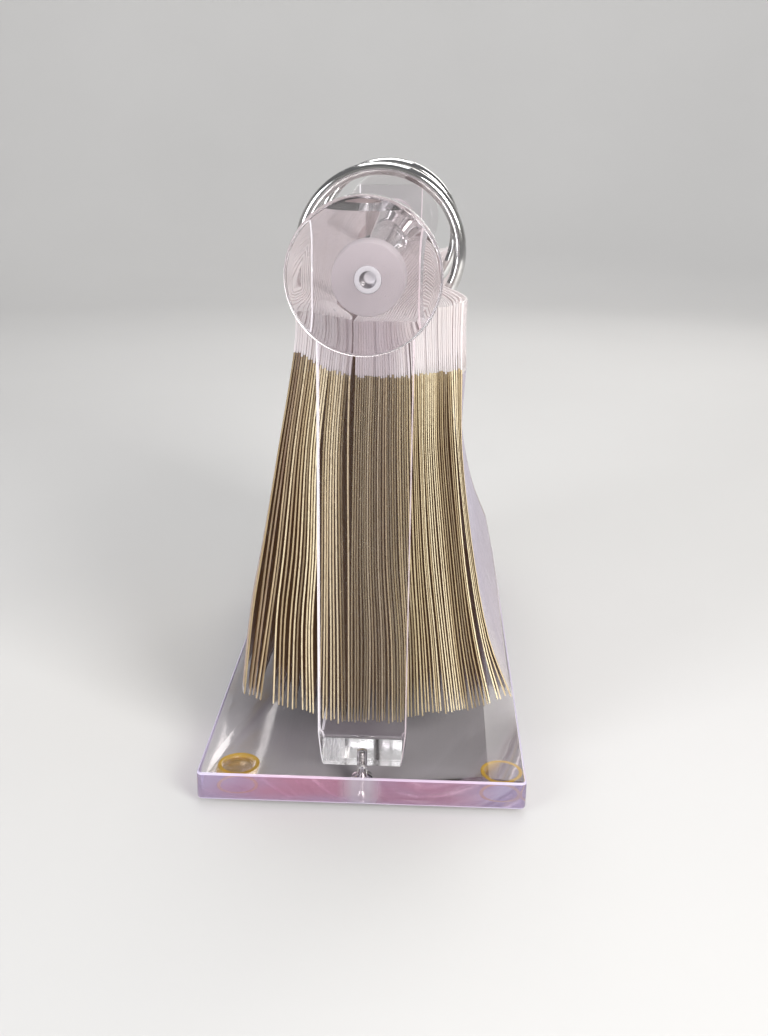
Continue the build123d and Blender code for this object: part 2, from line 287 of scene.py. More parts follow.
def frosted(name):
    """Bead-blasted acrylic: milky and a little pink."""
    net = Net(name)
    place = net.coords()
    grain = net.noise(place, scale=2600.0, detail=2.0)
    cloud = net.noise(place, scale=180.0, detail=3.0)
    turned = net.noise(place, stretch=(90, 4200, 90), detail=1.0)
    pale, dull = (0.97, 0.92, 0.935), (0.92, 0.87, 0.885)
    colour = net.mix(net.remap(cloud, span=(0.3, 0.7)), pale, dull)
    normal = net.bump(turned, strength=0.08, distance=0.0001)
    normal = net.bump(grain, strength=0.22, distance=0.00012, normal=normal)
    glass = net.bsdf("Principled", Base_Color=colour, IOR=1.49, Transmission_Weight=1.0,
                     Roughness=net.remap(cloud, span=(0.3, 0.7), to=(0.42, 0.58)),
                     Normal=normal)
    milk = net.bsdf("Translucent", Color=(0.96, 0.91, 0.93), Normal=normal)
    body = net.bsdf("Diffuse", Color=colour, Normal=normal)
    body_share = 0.60      # of the body against the milk, then of both against the glass
    shader = net.mix_shader(body_share, milk, body)
    shader = net.mix_shader(body_share, glass, shader)
    return net.done_clear(shader, tint=(0.80, 0.76, 0.78), share=0.55)


def chrome(name):
    """Chrome plate with hazy rubbed patches, fine scratches and brown pits."""
    net = Net(name)
    place = net.coords()
    haze = net.noise(place, scale=120.0, detail=4.0)
    scratch = net.noise(place, stretch=(500, 6000, 500), detail=3.0)
    pits = net.remap(net.noise(place, scale=1700.0, detail=2.0), span=(0.70, 0.78))
    rub = net.remap(haze, span=(0.5, 0.68))
    bright, worn, pitted = (0.68, 0.675, 0.67), (0.54, 0.53, 0.52), (0.20, 0.17, 0.14)
    colour = net.mix(net.times(pits, by=0.6), net.mix(rub, bright, worn), pitted)
    roughness = net.plus(net.remap(scratch, span=(0.3, 0.75), to=(0.035, 0.12)),
                         net.times(rub, by=0.09))
    normal = net.bump(haze, strength=0.04, distance=0.0008)
    normal = net.bump(scratch, strength=0.05, distance=0.0001, normal=normal)
    return net.done(net.bsdf("Principled", Base_Color=colour, Metallic=1.0,
                             Roughness=roughness, Normal=normal))


def steel(name):
    """Turned steel, a little cloudy."""
    net = Net(name)
    place = net.coords()
    turned = net.noise(place, stretch=(3000, 3000, 300), detail=3.0)
    cloud = net.noise(place, scale=420.0, detail=3.0)
    bright, dull = (0.56, 0.55, 0.54), (0.40, 0.385, 0.37)
    return net.done(net.bsdf(
        "Principled", Metallic=1.0,
        Base_Color=net.mix(net.remap(cloud, span=(0.35, 0.7)), bright, dull),
        Roughness=net.remap(turned, span=(0.3, 0.7), to=(0.22, 0.42)),
        Normal=net.bump(turned, strength=0.12, distance=0.0001)))


def amber(name, light, dark, body):
    """Clear amber bumper; body is the share of solid colour against glass."""
    net = Net(name)
    place = net.coords()
    cloud = net.noise(place, scale=300.0, detail=3.0)
    grit = net.noise(place, scale=2300.0, detail=2.0)
    colour = net.mix(net.remap(cloud, span=(0.3, 0.7)), light, dark)
    normal = net.bump(grit, strength=0.10, distance=0.0001)
    glass = net.bsdf("Principled", Base_Color=colour, IOR=1.5, Transmission_Weight=1.0,
                     Roughness=net.remap(grit, span=(0.3, 0.7), to=(0.06, 0.2)),
                     Normal=normal)
    ochre = (0.66, 0.44, 0.06)
    solid = net.bsdf("Principled", Base_Color=net.mix(0.5, colour, ochre), Roughness=0.16,
                     Normal=normal)
    shader = net.mix_shader(body, glass, solid)
    return net.done_clear(shader, tint=(0.95, 0.78, 0.42), share=0.7)


def vinyl_film(name, milky):
    """Clear film over a card: soft ripples, a weld under the header and one at the foot."""
    net = Net(name)
    island = net.island()
    flat = net.card_uv(island)
    down = net.split(flat)[1]
    ripple = net.noise(flat, stretch=(14, 30, 1), rough=0.55, distort=0.4)
    rub = net.noise(flat, stretch=(60, 45, 1), detail=5.0, rough=0.6)
    scratch = net.noise(flat, stretch=(70, 1900, 1), detail=2.0)
    marks = net.times(net.remap(scratch, span=(0.62, 0.72)), net.remap(rub, span=(0.45, 0.65)))
    weld = net.remap(down, span=(0.0238, 0.0250), to=(1.0, 0.0))
    foot = net.remap(down, span=(0.1545, 0.1560))
    seam = net.calc("MAXIMUM", weld, foot)
    haze = net.remap(rub, span=(0.35, 0.75), to=(0.04, 0.20))
    haze = net.plus(haze, net.times(seam, by=0.45), clamp=True)
    haze = net.plus(haze, net.times(marks, by=0.30), clamp=True)
    knurl = net.noise(flat, stretch=(900, 900, 1), detail=1.0)
    normal = net.bump(net.times(knurl, seam), strength=0.5, distance=0.0003)
    normal = net.bump(ripple, strength=0.35, distance=0.004, normal=normal)
    warm, cool, seam_white = (0.97, 0.95, 0.92), (0.98, 0.97, 0.96), (0.84, 0.80, 0.76)
    clear = net.bsdf("Transparent", Color=net.mix(island, warm, cool))
    milk = net.bsdf("Diffuse", Color=net.mix(seam, milky, seam_white), Normal=normal)
    film = net.mix_shader(haze, clear, milk)
    shine = net.bsdf("Glossy", Color=(0.88, 0.84, 0.97), Normal=normal,
                     Roughness=net.remap(rub, span=(0.3, 0.7), to=(0.12, 0.30)))
    mirror = net.times(net.fresnel(ior=1.52, normal=normal), by=0.55)
    return net.done(net.mix_shader(mirror, film, shine))


def vinyl_header(name, light, dark, skin_share, solid_share):
    """The header strip: thicker vinyl, gone milky, with a mauve cast.

    skin_share sets skin against light coming through, solid_share both against clear.
    """
    net = Net(name)
    island = net.island()
    flat = net.card_uv(island)
    cloud = net.noise(flat, stretch=(40, 90, 1), detail=4.0)
    fine = net.noise(flat, stretch=(1500, 500, 1), detail=2.0)
    stain = (0.80, 0.72, 0.66)
    colour = net.mix(net.remap(cloud, span=(0.35, 0.7), to=(0.0, 0.3)),
                     net.mix(island, light, dark), stain)
    normal = net.bump(fine, strength=0.15, distance=0.0001)
    normal = net.bump(cloud, strength=0.25, distance=0.002, normal=normal)
    clear = net.bsdf("Transparent", Color=(0.96, 0.94, 0.94))
    through = net.bsdf("Translucent", Color=colour, Normal=normal)
    # a faint painted glow stands in for light wandering inside the milky vinyl and fills the
    # shadows between the strips
    skin = net.bsdf("Principled", Base_Color=colour, Normal=normal,
                    Roughness=net.remap(cloud, span=(0.35, 0.7), to=(0.25, 0.42))
                    if False else net.remap(cloud, span=(0.3, 0.7), to=(0.25, 0.42)),
                    Emission_Color=(0.90, 0.86, 0.88), Emission_Strength=0.08)
    shader = net.mix_shader(skin_share, through, skin)
    return net.done(net.mix_shader(solid_share, clear, shader))


def card_edge(name):
    """Cut edges of card and sleeve: cream to olive and brown, set by each card's tone, which
    carries painted shade on the left group's far-left cards.
    """
    net = Net(name)
    flat = net.card_uv(net.island())
    tone = net.add("ShaderNodeAttribute", {"attribute_name": "tone"}).outputs["Color"]
    deep, brown, olive = net.split(tone)
    streak = net.noise(flat, stretch=(1, 60, 1))
    grime = net.remap(net.noise(flat, stretch=(200, 420, 1), detail=4.0), span=(0.52, 0.72))
    cream_to_dark = [(0.0, (0.86, 0.74, 0.49)), (0.35, (0.62, 0.49, 0.28)),
                     (0.65, (0.34, 0.255, 0.13)), (1.0, (0.15, 0.105, 0.05))]
    red_brown, olive_grey = (0.22, 0.135, 0.095), (0.35, 0.315, 0.205)
    straw, dirt = (0.80, 0.69, 0.47), (0.30, 0.21, 0.11)
    colour = net.ramp(deep, cream_to_dark)
    colour = net.mix(net.times(brown, by=0.80), colour, red_brown)
    colour = net.mix(net.times(olive, by=0.65), colour, olive_grey)
    colour = net.mix(net.remap(streak, span=(0.35, 0.75), to=(0.0, 0.18)), colour, straw)
    colour = net.mix(net.times(grime, by=0.45), colour, dirt)
    fibre = net.noise(flat, stretch=(900, 1400, 1), detail=2.0)
    return net.done(net.bsdf(
        "Principled", Base_Color=colour,
        Roughness=net.remap(fibre, span=(0.3, 0.7), to=(0.28, 0.5)),
        Normal=net.bump(fibre, strength=0.25, distance=0.0001)))


def tan_colour(net, island, blot, fibre):
    """Tan, blotched brown, with paler fibres; the tan is partly the card's colour, partly painted
    shade kept dark so the gaps between cards read dark.
    """
    tans = [(0.0, (0.66, 0.48, 0.28)), (0.5, (0.76, 0.58, 0.36)), (1.0, (0.70, 0.52, 0.32))]
    brown, pale = (0.46, 0.31, 0.17), (0.78, 0.64, 0.44)
    colour = net.mix(net.remap(blot, span=(0.4, 0.7), to=(0.0, 0.4)),
                     net.ramp(island, tans), brown)
    return net.mix(net.remap(fibre, span=(0.55, 0.75), to=(0.0, 0.25)), colour, pale)


def white_colour(net, flat, blot, fibre):
    """Lilac white, with a painted patch of sunlight in cream low down at the front end, and a
    little cream along the foot.
    """
    down = net.split(flat)[1]
    foot = net.remap(down, span=(0.10, 0.158))
    front = net.remap(net.split(net.coords())[1], span=(-0.108, -0.075), to=(1.0, 0.0))
    lower = net.remap(down, span=(0.055, 0.150))
    lilac, mauve, cream = (0.74, 0.70, 0.84), (0.66, 0.61, 0.73), (0.95, 0.93, 0.88)
    foot_cream, grey = (0.90, 0.82, 0.68), (0.72, 0.66, 0.64)
    colour = net.mix(net.remap(blot, span=(0.35, 0.7)), lilac, mauve)
    # painted light: the cream low down at the front end stands for sunlight on the face
    colour = net.mix(net.times(front, lower), colour, cream)
    colour = net.mix(net.times(foot, by=0.25), colour, foot_cream)
    return net.mix(net.remap(fibre, span=(0.5, 0.75), to=(0.0, 0.18)), colour, grey)


def card_paper(name, tan=True):
    """Card stock: tan inside the pack, partly painted shade, white for the outermost card."""
    net = Net(name)
    island = net.island()
    flat = net.card_uv(island)
    fibre = net.noise(flat, stretch=(420, 260, 1), detail=5.0, rough=0.65)
    blot = net.noise(flat, stretch=(18, 22, 1), detail=4.0, rough=0.6)
    if tan:
        colour = tan_colour(net, island, blot, fibre)
        # a faint painted glow stands in for light coming through the stack, so the gaps stay brown
        light = {"Emission_Color": (0.90, 0.56, 0.30), "Emission_Strength": 0.035}
    else:
        colour = white_colour(net, flat, blot, fibre)
        light = {}
    normal = net.bump(blot, strength=0.15, distance=0.003)
    normal = net.bump(fibre, strength=0.22, distance=0.0002, normal=normal)
    return net.done(net.bsdf(
        "Principled", Base_Color=colour, Normal=normal,
        Roughness=net.remap(fibre, span=(0.3, 0.7), to=(0.6, 0.85)), **light))


M_ACRYLIC = acrylic("acrylic_polished", gleam=0.45)
M_STRIP = acrylic("acrylic_strip", gleam=0.28)
# painted piped light: pink and lavender on the plate's bevels and sawn edges
M_BEVEL = acrylic_edge("acrylic_bevel", pink=(0.72, 0.53, 0.68), lavender=(0.66, 0.60, 0.80),
                       body=0.75)
M_PLATE_EDGE = acrylic_edge("acrylic_sawn_edge")
# painted light: the strip's left edges, near white with a painted glow, stand for lit edges; its
# right edges stay pink
M_STRIP_EDGE = acrylic_edge("acrylic_strip_edge", pink=(0.97, 0.93, 0.96),
                            lavender=(0.95, 0.93, 0.98), body=0.65, painted_glow=0.45)
M_STRIP_RIGHT = acrylic_edge("acrylic_strip_edge_pink", pink=(0.92, 0.78, 0.84),
                             lavender=(0.88, 0.78, 0.88), body=0.50)
M_STRIP_SIDE = acrylic_edge("acrylic_strip_side", pink=(0.80, 0.74, 0.80),
                            lavender=(0.74, 0.70, 0.82), body=0.22)
M_DISC = acrylic("acrylic_disc", tint=(0.985, 0.975, 0.98), rough=0.008, dust=0.3)
M_ROD = acrylic("acrylic_rod", tint=(0.95, 0.94, 0.945), rough=0.03)
M_ROD_END = rod_end("acrylic_rod_end")
M_FROST = frosted("acrylic_frosted")
M_CHROME = chrome("chrome_plate")
M_STEEL = steel("steel_turned")
M_AMBER = amber("amber_bumper_wall", light=(0.90, 0.64, 0.14), dark=(0.78, 0.50, 0.08),
                body=0.72)
M_AMBER_MID = amber("amber_bumper_middle", light=(0.93, 0.82, 0.52), dark=(0.88, 0.74, 0.40),
                    body=0.22)
M_FILM = vinyl_film("vinyl_film", milky=(0.56, 0.42, 0.27))
M_FILM_OUTER = vinyl_film("vinyl_film_outer", milky=(0.84, 0.80, 0.84))
M_HEADER = vinyl_header("vinyl_header", light=(0.92, 0.89, 0.90), dark=(0.85, 0.81, 0.82),
                        skin_share=0.50, solid_share=0.60)
M_HEADER_EDGE = vinyl_header("vinyl_header_edge", light=(0.90, 0.865, 0.87),
                             dark=(0.82, 0.785, 0.79), skin_share=0.72, solid_share=0.93)
M_CARD_EDGE = card_edge("card_and_film_edge")
M_PAPER = card_paper("card_stock_tan")
M_PAPER_WHITE = card_paper("card_stock_white", tan=False)


# ------------------------------------------------------------------ mesh helpers
def link(name, mesh):
    ob = bpy.data.objects.new(name, mesh)
    bpy.context.scene.collection.objects.link(ob)
    return ob


def mesh_from_mm(name, verts, faces):
    mesh = bpy.data.meshes.new(name)
    mesh.from_pydata([tuple(c * MM for c in vert) for vert in verts], [], faces)
    return mesh


def smooth_shade(mesh, sharp):
    mesh.shade_smooth()
    mesh.set_sharp_from_angle(angle=math.radians(sharp))


def make(name, verts, faces, mats, face_mats=None, uvs=None, tones=None, sharp=35.0):
    """An object from points in mm; uvs and tones hold one entry per vertex."""
    mesh = mesh_from_mm(name, verts, faces)
    if face_mats is not None:
        mesh.polygons.foreach_set("material_index", np.array(face_mats, np.int32))
    if uvs is not None:
        layer = mesh.uv_layers.new(name="flat")
        corner_verts = np.zeros(len(mesh.loops), np.int32)
        mesh.loops.foreach_get("vertex_index", corner_verts)
        layer.data.foreach_set("uv", np.array(uvs, np.float32)[corner_verts].ravel())
    if tones is not None:
        attribute = mesh.attributes.new("tone", "FLOAT_COLOR", "POINT")
        attribute.data.foreach_set("color", np.array(tones, np.float32).ravel())
    for mat in mats:
        mesh.materials.append(mat)
    mesh.update()
    bm = bmesh.new()
    bm.from_mesh(mesh)
    bmesh.ops.recalc_face_normals(bm, faces=bm.faces)
    bm.to_mesh(mesh)
    bm.free()
    smooth_shade(mesh, sharp)
    return link(name, mesh)


def cut(ob, cutters, sharp):
    """Cuts the cutters out of an object, applies the result and removes the cutters."""
    for cutter in cutters:
        modifier = ob.modifiers.new("cut", "BOOLEAN")
        modifier.operation = "DIFFERENCE"
        modifier.solver = "EXACT"
        modifier.object = cutter
    bpy.context.view_layer.update()
    graph = bpy.context.evaluated_depsgraph_get()
    mesh = bpy.data.meshes.new_from_object(ob.evaluated_get(graph), depsgraph=graph)
    ob.modifiers.clear()
    ob.data = mesh
    for cutter in cutters:
        bpy.data.objects.remove(cutter)
    smooth_shade(mesh, sharp)


def lathe(name, profile, origin, axis, segments, mats, seg_mats=None, sharp=35.0):
    """Turns (radius, height) points about an axis.

    A profile runs from pole to pole at radius 0, or, with no poles, closes into a tube.
    seg_mats holds one material index per step of the profile.
    """
    axis = Vector(axis).normalized()
    side = axis.orthogonal().normalized()
    other = axis.cross(side)
    origin = Vector(origin)
    verts, rings = [], []
    for radius, height in profile:
        centre = origin + axis * height
        if radius == 0:
            rings.append([len(verts)])
            verts.append(tuple(centre))
            continue
        rings.append(range(len(verts), len(verts) + segments))
        for i in range(segments):
            a = 2 * math.pi * i / segments
            verts.append(tuple(centre + (side * math.cos(a) + other * math.sin(a)) * radius))
    faces, face_mats = [], []
    closed = len(rings[0]) > 1
    for k in range(len(rings) if closed else len(rings) - 1):
        low, high = rings[k], rings[(k + 1) % len(rings)]
        for i in range(segments):
            j = (i + 1) % segments
            if len(low) == 1:
                faces.append((low[0], high[j], high[i]))
            elif len(high) == 1:
                faces.append((low[i], low[j], high[0]))
            else:
                faces.append((low[i], low[j], high[j], high[i]))
            face_mats.append(seg_mats[k] if seg_mats else 0)
    return make(name, verts, faces, mats, face_mats, sharp=sharp)


def bore(radius, low, high, origin, axis, segments, mat):
    """A round cutter between two heights on an axis."""
    profile = [(0, low), (radius, low), (radius, high), (0, high)]
    return lathe("cutter", profile, origin, axis, segments, [mat])


def arc(cx, cy, radius, start, end, steps):
    """Points on a circle between two angles in degrees."""
    angles = [math.radians(start + (end - start) * i / steps) for i in range(steps + 1)]
    return [(cx + radius * math.cos(a), cy + radius * math.sin(a)) for a in angles]


def tube_sides(rows, around):
    """Quads between successive closed rows of vertices."""
    return [(k * around + i, k * around + (i + 1) % around,
             (k + 1) * around + (i + 1) % around, (k + 1) * around + i)
            for k in range(rows - 1) for i in range(around)]


def tube_caps(rows, around):
    return [tuple(range(around)), tuple(range((rows - 1) * around, rows * around))[::-1]]


def smooth(low, high, x):
    t = np.clip((x - low) / (high - low), 0, 1)
    return t * t * (3 - 2 * t)


def register(ob, rides, replaces, slot):
    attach(ob, rides)
    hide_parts(replaces)


# ------------------------------------------------------------------ base plate
PLATE_HALF_X, PLATE_HALF_Y, PLATE_CORNER = 63.5, 133.35, 2.5
PLATE_BEVEL = [(0.0, 0.75), (0.12, 0.38), (0.38, 0.12), (0.75, 0.0)]  # from a face, inset
SCREW_HOLE = [(0, -1.0), (4.15, -1.0), (4.15, 0.3), (2.05, 2.75), (2.05, 20.0), (0, 20.0)]


def plate_outline(inset):
    radius = PLATE_CORNER - inset
    x, y = PLATE_HALF_X - inset - radius, PLATE_HALF_Y - inset - radius
    corners = ((x, y, 0), (-x, y, 90), (-x, -y, 180), (x, -y, 270))
    return [p for cx, cy, a in corners for p in arc(cx, cy, radius, a, a + 90, 8)]


def base_plate():
    levels = [(PLATE_BOTTOM + step, inset) for step, inset in PLATE_BEVEL]
    levels += [(PLATE_TOP - step, inset) for step, inset in reversed(PLATE_BEVEL)]
    verts = [(x, y, z) for z, inset in levels for x, y in plate_outline(inset)]
    rows, around = len(levels), len(verts) // len(levels)
    faces = tube_sides(rows, around)
    faces += [cap[::-1] for cap in tube_caps(rows, around)]
    face, edge, bevel = range(3)
    wall = len(PLATE_BEVEL) - 1
    face_mats = [edge if k == wall else bevel for k in range(rows - 1) for _ in range(around)]
    ob = make("base_slab", verts, faces, [M_ACRYLIC, M_PLATE_EDGE, M_BEVEL],
              face_mats + [face, face], sharp=50)
    cut(ob, [lathe("cutter", SCREW_HOLE, (0, y, PLATE_BOTTOM), (0, 0, 1), 40, [M_ACRYLIC])
             for y in (-SCREW_Y, SCREW_Y)], sharp=50)
    register(ob, "stand", "base_plate", "clear_acrylic")


# ------------------------------------------------------------------ feet
FEET = {
    "foot_front_left": (-49.0, -116.1),
    "foot_front_right": (54.0, -116.1),
    "foot_rear_left": (-51.0, 117.5),
    "foot_rear_right": (51.5, 116.5),
}
# (radius, z): out along the underside, up the wall and back along the dished top
FOOT_PROFILE = [
    (0.0, 0.55), (5.2, 0.5), (5.9, 0.32), (6.3, 0.06), (6.6, 0.0), (7.1, 0.0),
    (7.6, 0.12), (7.95, 0.42), (8.2, 0.95), (8.25, 1.5), (8.25, 2.2), (8.2, 2.42),
    (8.1, 2.53), (6.75, 2.53), (6.5, 2.4), (6.3, 1.95), (5.9, 1.8), (0.0, 1.75),
]


def feet():
    seg_mats = [1, 1] + [0] * 13 + [1, 1]      # 1 is the thinner middle
    for node, (x, y) in FEET.items():
        ob = lathe(node + "_bumper", FOOT_PROFILE, (x, y, 0), (0, 0, 1), 72,
                   [M_AMBER, M_AMBER_MID], seg_mats, sharp=40)
        register(ob, "stand", node, "amber_bumper")


# ------------------------------------------------------------------ U-shaped stand
STRIP_THICK, STRIP_WIDTH = 9.45, 33.7
STRIP_Y, STRIP_TOP = 127.7, 221.9                  # outer face of each upright, its top
STRIP_FOOT = PLATE_TOP + 0.05                      # a hair of air between strip and plate
OUTER_BEND, INNER_BEND = 5.5, 4.0
WAIST, WAIST_REACH = 1.7, 12.0                     # the strip narrows at its bends
STRIP_BEVEL = 0.45
# strip cross-section: side (-1 left), on the inner face, inset in X, shift from the outer
# face towards the inner one, and the material from this corner to the next
# the left side's edges take the painted lit, glowing material (1), the right side's edges the pink
# one (3)
STRIP_SECTION = [
    (-1, 0, 0, STRIP_BEVEL, 1), (-1, 0, STRIP_BEVEL, 0, 0),
    (1, 0, STRIP_BEVEL, 0, 3), (1, 0, 0, STRIP_BEVEL, 2),
    (1, 1, 0, -STRIP_BEVEL, 3), (1, 1, STRIP_BEVEL, 0, 0),
    (-1, 1, STRIP_BEVEL, 0, 1), (-1, 1, 0, -STRIP_BEVEL, 2),
]


def strip_rows():
    """Matching (y, z) points on the outer and inner face, front top to rear top."""
    heights = [*np.linspace(STRIP_TOP, STRIP_FOOT + 26, 12),
               *np.linspace(STRIP_FOOT + 24, STRIP_FOOT + STRIP_THICK + 4.6, 9)]
    rows = [((-STRIP_Y, z), (-STRIP_Y + STRIP_THICK, z)) for z in heights]
    outer = arc(-STRIP_Y + OUTER_BEND, STRIP_FOOT + OUTER_BEND, OUTER_BEND, 180, 270, 12)
    inner = arc(-STRIP_Y + STRIP_THICK + INNER_BEND, STRIP_FOOT + STRIP_THICK + INNER_BEND,
                INNER_BEND, 180, 270, 12)
    rows += zip(outer, inner)
    floor_ys = [*np.linspace(-STRIP_Y + STRIP_THICK + 5.5, -STRIP_Y + 34, 8),
                *np.linspace(-STRIP_Y + 44, -10, 6)]
    rows += [((y, STRIP_FOOT), (y, STRIP_FOOT + STRIP_THICK)) for y in floor_ys]
    return rows + [((-o[0], o[1]), (-n[0], n[1])) for o, n in reversed(rows)]


def waist(y, z):
    """How far each side is drawn in at a point of the strip's middle line."""
    distance = math.hypot(abs(y) - (STRIP_Y - STRIP_THICK / 2),
                          z - (STRIP_FOOT + STRIP_THICK / 2))
    return WAIST * (1 - smooth(0.0, WAIST_REACH, distance))


def stand_strip():
    rows = strip_rows()
    verts = []
    for outer, inner in rows:
        outer, inner = Vector(outer), Vector(inner)
        inward = (inner - outer).normalized()
        middle = (outer + inner) / 2
        half = STRIP_WIDTH / 2 - waist(middle[0], middle[1])
        for side, on_inner, inset, shift, _ in STRIP_SECTION:
            point = (inner if on_inner else outer) + inward * shift
            verts.append((side * (half - inset), point[0], point[1]))
    size = len(rows), len(STRIP_SECTION)
    face_mats = [corner[4] for corner in STRIP_SECTION] * (len(rows) - 1) + [0, 0]
    ob = make("stand_strip", verts, tube_sides(*size) + tube_caps(*size),
              [M_STRIP, M_STRIP_EDGE, M_STRIP_SIDE, M_STRIP_RIGHT], face_mats, sharp=40)
    cutters = []
    for side, start_y in ((-1, -131.0), (1, 115.0)):
        cutters.append(bore(4.56, 0, 16, (AXLE_X, start_y, AXLE_Z), (0, 1, 0), 56, M_STRIP))
        blind_hole = [(0, -2.0), (2.0, -2.0), (2.0, 7.4), (0, 8.3)]
        cutters.append(lathe("cutter", blind_hole, (0, side * SCREW_Y, STRIP_FOOT),
                             (0, 0, 1), 32, [M_STRIP]))
    cut(ob, cutters, sharp=40)
    register(ob, "stand", "stand_frame", "clear_acrylic")


# ------------------------------------------------------------------ stand screws
SCREW_HEAD = [(0, 0.3), (3.4, 0.3), (3.8, 0.42), (3.9, 0.6), (2.3, 2.35), (1.95, 2.6)]
SCREW_TIP = [(1.5, 17.0), (1.2, 17.4), (0, 17.5)]
THREAD = [(1.55, 0.0), (1.92, 0.35), (1.92, 0.45), (1.55, 0.8)]     # one ridge
THREAD_START, THREAD_PITCH, THREAD_TURNS = 2.9, 0.9, 15
DRIVER_SLOT = (9.0, 1.0, 1.5)
DRIVER_SLOT_Z = PLATE_BOTTOM + 0.55                # its centre, in the underside of the head


def slot_cutter(y):
    bm = bmesh.new()
    at = Matrix.Translation((0, y * MM, DRIVER_SLOT_Z * MM))
    size = Matrix.Diagonal((*(side * MM for side in DRIVER_SLOT), 1))
    bmesh.ops.create_cube(bm, size=1.0, matrix=at @ size)
    mesh = bpy.data.meshes.new("slotcut")
    bm.to_mesh(mesh)
    bm.free()
    return link("slotcut", mesh)


def stand_screws():
    starts = [THREAD_START + THREAD_PITCH * turn for turn in range(THREAD_TURNS)]
    thread = [(radius, start + z) for start in starts for radius, z in THREAD]
    for node, y in (("front_stand_screw", -SCREW_Y), ("rear_stand_screw", SCREW_Y)):
        ob = lathe(node + "_turned", SCREW_HEAD + thread + SCREW_TIP, (0, y, PLATE_BOTTOM),
                   (0, 0, 1), 36, [M_STEEL], sharp=25)
        cut(ob, [slot_cutter(y)], sharp=25)
        register(ob, "stand", node, "steel_screw")


# ------------------------------------------------------------------ axle
# (radius, distance from the middle), from the dimpled centre out to the rounded rim
AXLE_END = [(0, 137.7), (0.8, 137.76), (1.5, 137.95), (2.1, 138.25), (2.6, 138.55),
            (2.9, 138.62), (3.9, 138.62), (4.32, 138.5), (4.48, 138.2)]
AXLE_RADIUS = 4.49
LEG_BORE = 2.62


def axle():
    bar = [(AXLE_RADIUS, float(y)) for y in np.linspace(-130, 130, 9)]
    profile = [(radius, -y) for radius, y in AXLE_END] + bar + AXLE_END[::-1]
    ob = lathe("axle_round_bar", profile, (AXLE_X, 0, AXLE_Z), (0, 1, 0), 72,
               [M_ROD, M_ROD_END], [1] * 8 + [0] * 10 + [1] * 8, sharp=40)
    leg = Vector((math.cos(LEG_TILT), 0, math.sin(LEG_TILT)))
    cut(ob, [bore(LEG_BORE, -8, 8, (AXLE_X, y, AXLE_Z), leg, 40, M_ROD)
             for y in (-RING_Y, RING_Y)], sharp=40)
    register(ob, "spindle", "axle_rod", "clear_acrylic")


# ------------------------------------------------------------------ knobs
DISC_X, DISC_Z = AXLE_X - 1.2, AXLE_Z + 1.2        # the discs sit a little off centre
DISC_RADIUS, DISC_THICK, DOME_RADIUS = 25.65, 9.5, 195.0
DISC_INNER_Y = 138.7
RIM_ROUND = 1.6
# hub (radius, distance from the middle), a tube about the axle
HUB_PROFILE = [(4.53, 128.75), (11.2, 128.75), (11.6, 128.9), (11.75, 129.25), (11.75, 133.5),
               (11.75, 138.1), (11.6, 138.5), (11.25, 138.65), (4.53, 138.65)]


def dome(radius):
    """The domed face's distance from the middle at a radius."""
    sag = DOME_RADIUS - math.sqrt(DOME_RADIUS * DOME_RADIUS - radius * radius)
    return DISC_INNER_Y + DISC_THICK - sag


def disc_profile():
    rim = dome(DISC_RADIUS)
    profile = [(0, 138.75), (24.9, 138.75), (25.25, 138.85), (25.55, 139.15),
               (DISC_RADIUS, 139.5), (DISC_RADIUS, 141.5), (DISC_RADIUS, rim - RIM_ROUND)]
    for angle in (12, 24, 36, 48, 60, 72, 82):
        a = math.radians(angle)
        profile.append((DISC_RADIUS - RIM_ROUND + RIM_ROUND * math.cos(a),
                        rim - 1.55 + RIM_ROUND * math.sin(a)))
    return profile + [(r, dome(r)) for r in (22.5, 20.0, 17.0, 14.0, 11.0, 8.0, 5.0, 2.5, 0.0)]


def knobs():
    for knob, side in (("front", -1), ("rear", 1)):
        profile = [(radius, side * y) for radius, y in disc_profile()]
        ob = lathe(knob + "_knob_clear_disc", profile, (DISC_X, 0, DISC_Z), (0, 1, 0), 160,
                   [M_DISC], sharp=50)
        register(ob, "spindle", knob + "_knob_disc", "clear_acrylic")
        profile = [(radius, side * y) for radius, y in HUB_PROFILE]
        ob = lathe(knob + "_knob_frosted_hub", profile, (AXLE_X, 0, AXLE_Z), (0, 1, 0), 96,
                   [M_FROST], sharp=50)
        register(ob, "spindle", knob + "_knob_hub", "frosted_acrylic")


# ------------------------------------------------------------------ rings
RING_RADIUS, WIRE_RADIUS = 32.05, 2.55
LEG_START, LEG_REACH = 6.0, 5.3        # leg length on each side of the axle's centre
LEG_BEND, JOIN_BEND = 7.2, 6.0         # radii of the bends down from the leg, into the ring
RING_GAP = 22.6                        # degrees from the ring's free end to its lowest point
WIRE_CHAMFER = [(0.0, 0.80), (0.12, 0.93), (0.45, 1.0)]   # distance from the end, radius factor
WIRE_SIDES = 28


